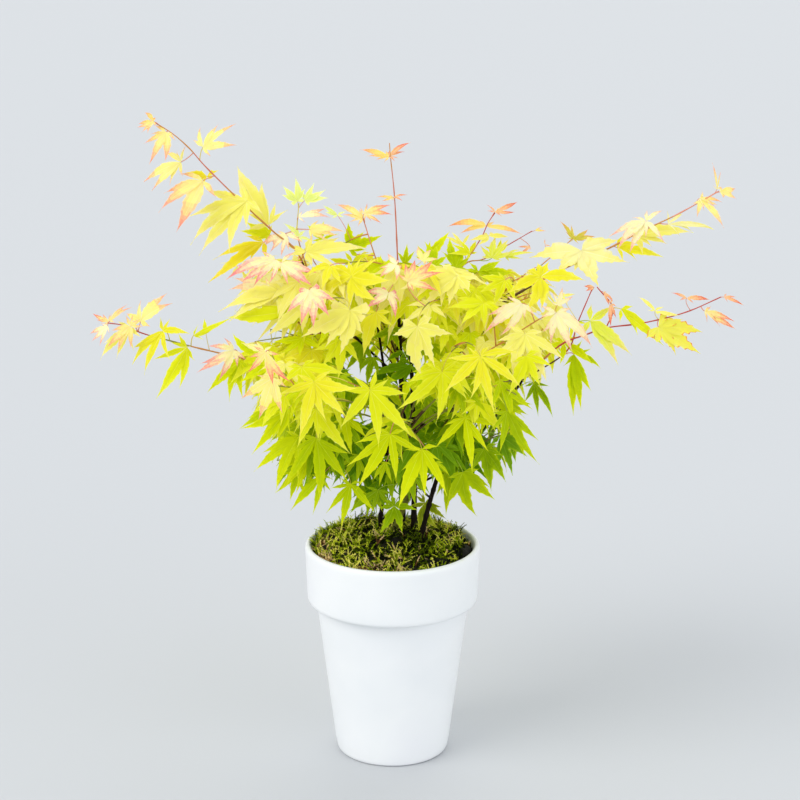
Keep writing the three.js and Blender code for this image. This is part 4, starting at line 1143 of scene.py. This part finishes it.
def leaf_samples(joint, ahead, normal, size):
    """Points over a leaf that would grow there."""
    a = unit(ahead)
    n = unit(normal - a * float(np.dot(normal, a)))
    b = np.cross(a, n)
    out = [joint]
    for turn, part in FIVE + ((64, 0.75), (-64, 0.75)):
        way = math.cos(math.radians(turn)) * a + math.sin(math.radians(turn)) * b
        for share in (0.35, 0.7, 1.0):
            r = size * part * share
            out.append(joint + way * r - n * 0.22 * r * share - np.array([0, 0, 0.07 * size * share**2]))
    return np.array(out)


def has_room(points):
    """True if a leaf through these points covers none that is placed by the picture, shows only where the crown
    is closed, and stays off the pot and inside the plant's depth."""
    if points[:, 2].min() < 233 or np.abs(points[:, 1]).max() > 208:
        return False
    if points[:, 2].min() < 290 and np.hypot(points[:, 0] - 10, points[:, 1] - 5).max() > 126:
        return False
    row, col = picture_cells(points)
    front = shown_depth[row, col]
    bare = front > 1e8
    if (~bare & (points[:, 1] < front - 2.0)).mean() > 0.07 or (bare & ~closed[row, col]).any():
        return False
    view = unit(points[0] - CAMERA)
    facing = abs(float(unit(np.cross(points[3] - points[0], points[6] - points[0])) @ view))
    middle = 165 < col[0] < 250 and 160 < row[0] < 250
    limit = 0.4 if middle and points[0, 1] > 0 else 0.6
    # One seen edge-on may only show a little.
    return bool(bare.mean() <= limit * np.clip((facing - 0.22) / 0.4, 0.10, 1.0))


def leaf_pair(node_at, along, turned, size, colour, own):
    """Up to two leaves with their stalks at one node of a shoot, where they have room."""
    along = unit(along)
    flat_side = unit(np.cross(along, [0, 0, 1.0]) + 1e-6)
    other = unit(np.cross(along, flat_side))
    found = []
    for sign in (-1, 1):
        side = sign * (math.cos(turned) * flat_side + math.sin(turned) * other)
        for attempt in range(3):
            stalk = size * (0.36 + 0.3 * own.random())
            way = unit(0.75 * side + 0.55 * along + np.array([0, 0, 0.32]) + own.normal(0, 0.12 + 0.1 * attempt, 3))
            j = node_at + way * stalk
            outward = unit([j[0] - 8, j[1] - 4, 0.0])
            level = unit(np.array([way[0], way[1], 0]) * 0.7 + outward * 0.5 + own.normal(0, 0.38, 3) * [1, 1, 0])
            high = np.clip((j[2] - 280) / 220.0, 0, 1)
            fall = math.radians(np.clip(own.normal(54 - 32 * high, 14), 4, 78))
            ahead = level * math.cos(fall) + np.array([0, 0, -math.sin(fall)])
            normal = level * math.sin(fall) + np.array([0, 0, math.cos(fall)]) + own.normal(0, 0.24, 3)
            if not has_room(leaf_samples(j, ahead, normal, size)):
                continue
            low_down = j[2] < 390
            kind = (("slim", "slim", "star", "slim", "open") if low_down else ("star", "star", "open", "open", "young"))[int(own.integers(5))]
            found.append((node_at, j, ahead, normal, size * (0.92 + 0.16 * own.random()), colour, kind))
            break
    return found


def grow_all(found, own):
    for node_at, j, ahead, normal, size, colour, kind in found:
        grow_leaf(pile_for(j), j, ahead, normal, size, colour, kind, own)
        add_stalk(node_at, j, stalk_colour(colour, own), 0.12, 0.5, 0.36)


own = np.random.default_rng(19)
GOLDEN = PI * (3 - math.sqrt(5))
for number, (name, (centre, half, limb, count)) in enumerate(PADS.items()):
    centre, half = np.array(centre, float), np.array(half, float)
    line = limb_paths[limb]
    for k in range(count):
        turn = GOLDEN * k + number
        rise = 0.75 - 1.25 * (k + 0.5) / count + own.normal(0, 0.12)
        level = math.sqrt(max(0.05, 1 - rise * rise))
        way = np.array([math.cos(turn) * level, math.sin(turn) * level, rise])
        target = centre + half * way * (0.5 + 0.4 * own.random())
        start = line[int(len(line) * (0.55 + 0.44 * own.random()))]
        span = float(np.linalg.norm(target - start))
        if span < 24:
            continue
        mid = 0.5 * (start + target) + np.array([0, 0, 0.14 * span]) + own.normal(0, 3.0, 3)
        path = bezier(start, mid, target, max(6, int(span / 4)))
        nodes = max(2, int(round(span / 22)))
        places = np.linspace(0.36, 1.0, nodes)
        last, found = 0, []
        for i, share in enumerate(places):
            spot = min(len(path) - 1, int(round(share * (len(path) - 1))))
            tipness = i / max(1, nodes - 1)
            size = (46 - 8 * tipness) * (0.84 + 0.28 * own.random())
            pair = leaf_pair(
                path[spot], path[spot] - path[max(0, spot - 2)], (PI / 2) * (i % 2) * 0.55 + own.normal(0, 0.25),
                size, colour_at(path[spot], tipness, own), own,
            )
            found += pair
            last = spot if pair else last
        if last > 2 and len(found) >= (1 if span < 40 else 2):
            grow_all(found, own)
            tints = (T_BROWN, T_OLIVE, T_ORANGE if target[2] > 400 else T_OLIVE)
            add_twig(path[: last + 1], 0.9, 0.45, tints, 6, nodes=places * len(path) / (last + 1))
            remember(path[: last + 1])

for start, end, arch, pairs in HIDDEN_SHOOTS:
    start, end = np.array(start, float), np.array(end, float)
    mid = 0.5 * (start + end) + np.array([0, 0, 2.0 * arch])
    path = bezier(start, mid, end, 26)
    places = np.linspace(0.3, 1.0, pairs + 1)
    last, found = 0, []
    for i, share in enumerate(places):
        spot = min(len(path) - 1, int(round(share * (len(path) - 1))))
        size = 40 * (1 - share) + 20 * share
        palette = ("lime_yellow", "lemon", "lemon_pale", "lemon_pink", "pink_edge", "peach")
        pair = leaf_pair(
            path[spot], path[spot] - path[max(0, spot - 2)], 0.3 * (i % 2) + own.normal(0, 0.15),
            size, palette[min(i + int(own.integers(2)), 5)], own,
        )
        found += pair
        last = spot if pair else last
    if last > 2:
        grow_all(found, own)
        add_twig(path[: last + 1], 1.0, 0.42, (T_BROWN, T_OLIVE, T_ORANGE, T_RED), 6)

# ------------------------------------------------------------------ the plant's pieces

REGION_NODES = {
    "top_front": ("foliage_top", "foliage_upper_left", "shoot_upper_left", "shoot_upper_left_tip",
                  "shoot_small_left", "shoot_small_centre"),
    "top_back": ("foliage_upper_right", "shoot_top", "shoot_back_upper", "shoot_right"),
    "left": ("foliage_left", "foliage_lower_left", "shoot_left", "shoot_front_left"),
    "back_left": ("foliage_back_left", "shoot_back_left"),
    "right": ("foliage_right", "foliage_lower_right", "shoot_right_tip", "shoot_lower_right", "shoot_front_right"),
    "back_right": ("foliage_back_right", "shoot_back_right"),
    "front": ("foliage_front", "foliage_low_front"),
    "back": ("foliage_back", "foliage_low_back", "shoot_back"),
}
total = 0
for region, pile in leaf_sets.items():
    used = sorted({s for s in pile.slots})
    remap = {s: i for i, s in enumerate(used)}
    pile.slots = [remap[s] for s in pile.slots]
    piece = pile.make("leaves_" + region, [leaf_mats[s] for s in used], sharp=50)
    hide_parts(*REGION_NODES[region])
    total += 2 * len(pile.faces)
    print("leaves", region, 2 * len(pile.faces), "triangles")
twig_piece = twigs.make("twigs", TWIG_MATS)
stalk_piece = stalks.make("leaf_stalks", TWIG_MATS)
print("leaves:", leaf_count, "triangles:", total, "twigs:", 2 * len(twigs.faces), "stalks:", 2 * len(stalks.faces))

# ------------------------------------------------------------------ pot

POT_HEIGHT = 213.0


def inner_radius(z):
    return float(
        np.interp(z, [9, 147.6, 163.6, 210, 213], [49.6, 68.0, 76.0, 79.0, 79.6])
    )


def pot_profile():
    """Outline from the middle of the underside, up the outside, over the lip and down inside."""
    p = [(0, 0), (40, 0), (51.5, 0), (53.2, 0.35), (54.3, 1.3), (54.8, 2.8), (55.2, 4.6)]
    for z in np.linspace(12, 148, 12):
        p.append((55.6 + (74.0 - 55.6) * (z - 5) / 148.1, z))
    p += [(74.0, 151.6), (74.4, 153.6), (75.4, 154.9), (77.4, 155.4), (80.3, 155.8), (82.0, 156.8), (82.8, 158.6), (83.05, 161)]
    for z in np.linspace(168, 203, 5):
        p.append((83.05 + (84.8 - 83.05) * (z - 161) / 44.0, z))
    p += [(84.9, 207), (84.9, 209.4), (84.4, 211.4), (83.2, 212.6), (81.9, 213.0), (80.6, 212.6), (79.7, 211.4), (79.1, 209)]
    for z in (204, 196, 186, 174, 164, 156, 147.6, 120, 90, 60, 30, 15):
        p.append((inner_radius(z), z))
    p += [(47.5, 10.2), (44, 9.2), (20, 9), (0, 9)]
    return p


def turned(profile, segments, name, mat, wobble=0.0):
    pts, faces = [], []
    rows = []
    own = np.random.default_rng(3)
    phase = own.random(4) * 2 * PI
    for r, z in profile:
        if r == 0:
            rows.append([len(pts)])
            pts.append((0, 0, z))
            continue
        row = []
        for j in range(segments):
            a = 2 * PI * j / segments
            rr = r * (1 + wobble * (math.sin(2 * a + phase[0] + z * 0.01) + 0.5 * math.sin(3 * a + phase[1])))
            row.append(len(pts))
            pts.append((rr * math.cos(a), rr * math.sin(a), z))
        rows.append(row)
    for i in range(len(rows) - 1):
        lo, hi = rows[i], rows[i + 1]
        for j in range(segments):
            k = (j + 1) % segments
            if len(lo) == 1:
                faces.append((lo[0], hi[k], hi[j]))
            elif len(hi) == 1:
                faces.append((lo[j], lo[k], hi[0]))
            else:
                faces.append((lo[j], lo[k], hi[k], hi[j]))
    pile = Pile()
    pile.add(np.array(pts), faces, 0)
    return pile.make(name, [mat], sharp=50)


pot = turned(pot_profile(), 144, "pot_glazed", GLAZE, 0.0006)
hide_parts("pot")

soil_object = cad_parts["soil"]
soil_object.data.materials.clear()
soil_object.data.materials.append(compost_material())
for slot_ in soil_object.material_slots:
    slot_.material = soil_object.data.materials[0]

# ------------------------------------------------------------------ moss


def moss_height(x, y):
    mound = 14.0 * np.exp(-((x - 2) ** 2 + (y - 12) ** 2) / 46.0**2)
    wave = (
        np.sin(0.11 * x + 0.05 * y + 1.0)
        + np.sin(-0.07 * x + 0.13 * y + 2.2)
        + np.sin(0.19 * x - 0.16 * y + 0.4)
        + 0.8 * np.sin(0.31 * x + 0.27 * y + 3.0)
    )
    return 207.0 + mound + 3.5 * y / 85.0 + 1.3 * wave


own = np.random.default_rng(77)
bed = Pile()
RINGS, AROUND = 26, 96
edge_radius = inner_radius(206) - 0.6
pts, faces = [(0, 0, float(moss_height(0, 0)))], []
for i in range(1, RINGS + 1):
    for j in range(AROUND):
        a = 2 * PI * j / AROUND
        r = edge_radius * i / RINGS
        x, y = r * math.cos(a), r * math.sin(a)
        z = float(moss_height(x, y)) + own.normal(0, 0.7) - 1.0
        if i >= RINGS - 1:
            z -= 1.6 * (i - RINGS + 2)
        pts.append((x, y, z))
for j in range(AROUND):
    faces.append((0, 1 + j, 1 + (j + 1) % AROUND))
for i in range(RINGS - 1):
    for j in range(AROUND):
        k = (j + 1) % AROUND
        a, b = 1 + i * AROUND, 1 + (i + 1) * AROUND
        faces.append((a + j, b + j, b + k, a + k))
low = len(pts)
for j in range(AROUND):
    a = 2 * PI * j / AROUND
    pts.append(((edge_radius - 1) * math.cos(a), (edge_radius - 1) * math.sin(a), SOIL_TOP + 0.4))
last = 1 + (RINGS - 1) * AROUND
for j in range(AROUND):
    k = (j + 1) % AROUND
    faces.append((last + j, low + j, low + k, last + k))
pts.append((0, 0, SOIL_TOP + 0.4))
for j in range(AROUND):
    faces.append((low + (j + 1) % AROUND, low + j, len(pts) - 1))
bed.add(np.array(pts, float), faces, 0)
bed_piece = bed.make("moss_bed", [moss_bed_material()])
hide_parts("moss")

MOSS_CODES = {
    "gold": "#FDF67C",
    "bright": "#E4EA44",
    "green": "#A6BC12",
    "olive": "#5C6E06",
    "deep": "#1C2404",
    "tan": "#F0D49A",
    "brown": "#8A603A",
}
MOSS_NAMES = list(MOSS_CODES)
MOSS_MATS = [plain_material("moss_" + n, c, 0.75, 0.08) for n, c in MOSS_CODES.items()]


def moss_strand(pile, root, way, length, width, slots, own):
    """A feathery strand: a thin curved stem, with pointed leaflets standing off it all round towards the tip. The lower
    stem and the lowest leaflets take the first, darker slot: partly the moss's own darker base, partly painted shade
    down in the mat.
    """
    way = unit(way)
    side = unit(np.cross(way, own.normal(0, 1, 3)))
    curl = own.normal(0, 0.55)
    steps = 5
    line = [np.array(root, float)]
    d = way.copy()
    for i in range(steps):
        d = unit(d + side * curl / steps * 1.6 + np.array([0, 0, -0.07]) + own.normal(0, 0.06, 3))
        line.append(line[-1] + d * length / steps)
    line = np.array(line)
    radii = width * 0.26 * (1 - 0.6 * np.linspace(0, 1, steps + 1))
    points, faces = tube(line, radii, 3)
    pile.add(points, faces, [slots[0]] * 9 + [slots[1]] * 6 + [slots[0], slots[1]] * 3)
    pts, fcs = [], []
    across = unit(np.cross(d, side))
    for i in range(1, steps + 1):
        t = unit(line[i] - line[i - 1])
        turn = i * 1.1
        u = math.cos(turn) * side + math.sin(turn) * across
        w = -math.sin(turn) * side + math.cos(turn) * across
        for out in (u, -u, w, -w):
            size = width * (1.25 - 0.1 * i)
            tip = line[i] + (out * 0.85 + t * (0.55 + 0.09 * i)) * size
            flat = np.cross(out, t) * 0.26 * size
            k = len(pts)
            pts += [line[i] - flat, line[i] + flat, tip]
            fcs.append((k, k + 1, k + 2))
    pile.add(np.array(pts), fcs, [slots[0]] * 8 + [slots[1]] * 12)


moss = Pile()
TUFTS = 235
tufts = []
tries = 0
while len(tufts) < TUFTS and tries < 20000:
    tries += 1
    r = edge_radius * math.sqrt(own.random()) * 0.975
    a = own.random() * 2 * PI
    x, y = r * math.cos(a), r * math.sin(a)
    bare_edge = r > 0.90 * edge_radius and -0.75 < math.atan2(y, x) < 0.05
    if not bare_edge and all((x - p) ** 2 + (y - q) ** 2 > 7.4**2 for p, q in tufts):
        tufts.append((x, y))
for x, y in tufts:
    r = math.hypot(x, y)
    z = float(moss_height(x, y)) - 2.0
    rim = r / edge_radius
    patch = math.sin(0.12 * x + 1.3) + math.sin(0.13 * y - 0.09 * x + 0.5) + own.normal(0, 0.8)
    dry = (-0.35 * x - 0.75 * y) / 80 + 0.35 * math.sin(0.14 * x) + own.normal(0, 0.3)
    if rim > 0.68 and dry > 0.32 and x < 20:
        kind = 5 if own.random() < 0.55 else 0
    elif patch > 1.0:
        kind = 0
    elif patch > 0.1:
        kind = 1
    elif patch > -0.8:
        kind = 2
    else:
        kind = 3
    big = 0.8 + 0.5 * own.random()
    # About a quarter of the tufts sit lower and take the darkest tone: painted shade in the hollows of the moss.
    sunk = own.random() < 0.27
    if sunk:
        kind, z, big = 4, z - 1.5, 0.75
    for k in range(9):
        turn = GOLDEN * k + own.random()
        lean = math.radians(14 + 62 * (k / 8) ** 0.8)
        way = np.array([math.cos(turn) * math.sin(lean), math.sin(turn) * math.sin(lean), math.cos(lean)])
        if rim > 0.85:
            # At the rim the strands stand up, so that none runs into the pot's wall.
            outward = max(0.0, float(way[:2] @ np.array([x, y]) / r))
            way[:2] -= (0.15 + outward) * np.array([x, y]) / r
        tone = kind if own.random() < 0.66 else int(np.clip(kind + own.integers(-1, 2), 0, 4 if kind < 5 else 6))
        if own.random() < 0.04:
            tone = 5
        # The darker tone goes on the lower stem and lowest leaflets: partly the moss's own base colour, partly painted
        # shade in the mat.
        darker = 6 if tone in (5, 6) else min(4, tone + 2)
        moss_strand(moss, (x + own.normal(0, 0.8), y + own.normal(0, 0.8), z), way,
                    (8.5 + 5.0 * own.random()) * big, 1.65 + 0.7 * own.random(), (darker, tone), own)
# Along the rim they stand close against the wall, but for the bare stretch at the right.
for degrees in range(40, 316, 5):
    a = math.radians(degrees + own.normal(0, 1.2))
    for k in range(4):
        r = edge_radius - 2.4 - 1.6 * own.random()
        root = np.array([r * math.cos(a), r * math.sin(a), 0.0])
        root[2] = float(moss_height(root[0], root[1])) - 1.5
        aside = np.array([-math.sin(a), math.cos(a), 0.0]) * own.normal(0, 0.5)
        way = aside - np.array([math.cos(a), math.sin(a), 0.0]) * (0.12 + 0.3 * own.random()) + np.array([0, 0, 1.0])
        tone = (5 if own.random() < 0.6 else 6) if 195 < degrees < 262 and own.random() < 0.7 else int(own.integers(1, 4))
        # A darker tone at the root here too: partly own colour, partly painted shade in the mat.
        moss_strand(moss, root, way, 7.0 + 4.0 * own.random(), 1.7, (6 if tone > 4 else min(4, tone + 1), tone), own)
# A few strands lie over the rim.
for degrees in (112, 121, 127, 134, 139, 146, 151, 158, 165, 171, 176, 181, 37):
    a = math.radians(degrees + own.normal(0, 2.0))
    out = np.array([math.cos(a), math.sin(a), 0.0])
    for k in range(3):
        root = out * (edge_radius - 3.0) + np.array([0, 0, float(moss_height(*(out[:2] * edge_radius))) + 0.5])
        root[2] = max(root[2], 210.0)
        way = out * (0.45 + 0.2 * own.random()) + np.array([0, 0, 0.9]) + own.normal(0, 0.22, 3) * [1, 1, 0]
        tone = int(own.integers(1, 4))
        # A darker tone at the root here too: partly own colour, partly painted shade.
        moss_strand(moss, root + own.normal(0, 1.2, 3) * [1, 1, 0.2], way, 6.5 + 3.0 * own.random(), 1.7, (min(4, tone + 1), tone), own)
moss_piece = moss.make("moss_strands", MOSS_MATS, smooth=False)
print("moss:", len(tufts), "tufts", len(moss.faces))

# ------------------------------------------------------------------ floor

floor_mesh = bpy.data.meshes.new("floor")
floor_mesh.from_pydata([(-40, -40, 0), (40, -40, 0), (40, 40, 0), (-40, 40, 0)], [], [(0, 1, 2, 3)])
floor_mat, floor_nt, floor_p = material("floor_pale")
floor_p.inputs["Base Color"].default_value = (0.548, 0.566, 0.588, 1)
floor_p.inputs["Roughness"].default_value = 0.75
floor_p.inputs["Specular IOR Level"].default_value = 0.2
floor_mesh.materials.append(floor_mat)
floor = bpy.data.objects.new("floor", floor_mesh)
floor.location = (0, 0, -0.0002)
bpy.context.scene.collection.objects.link(floor)
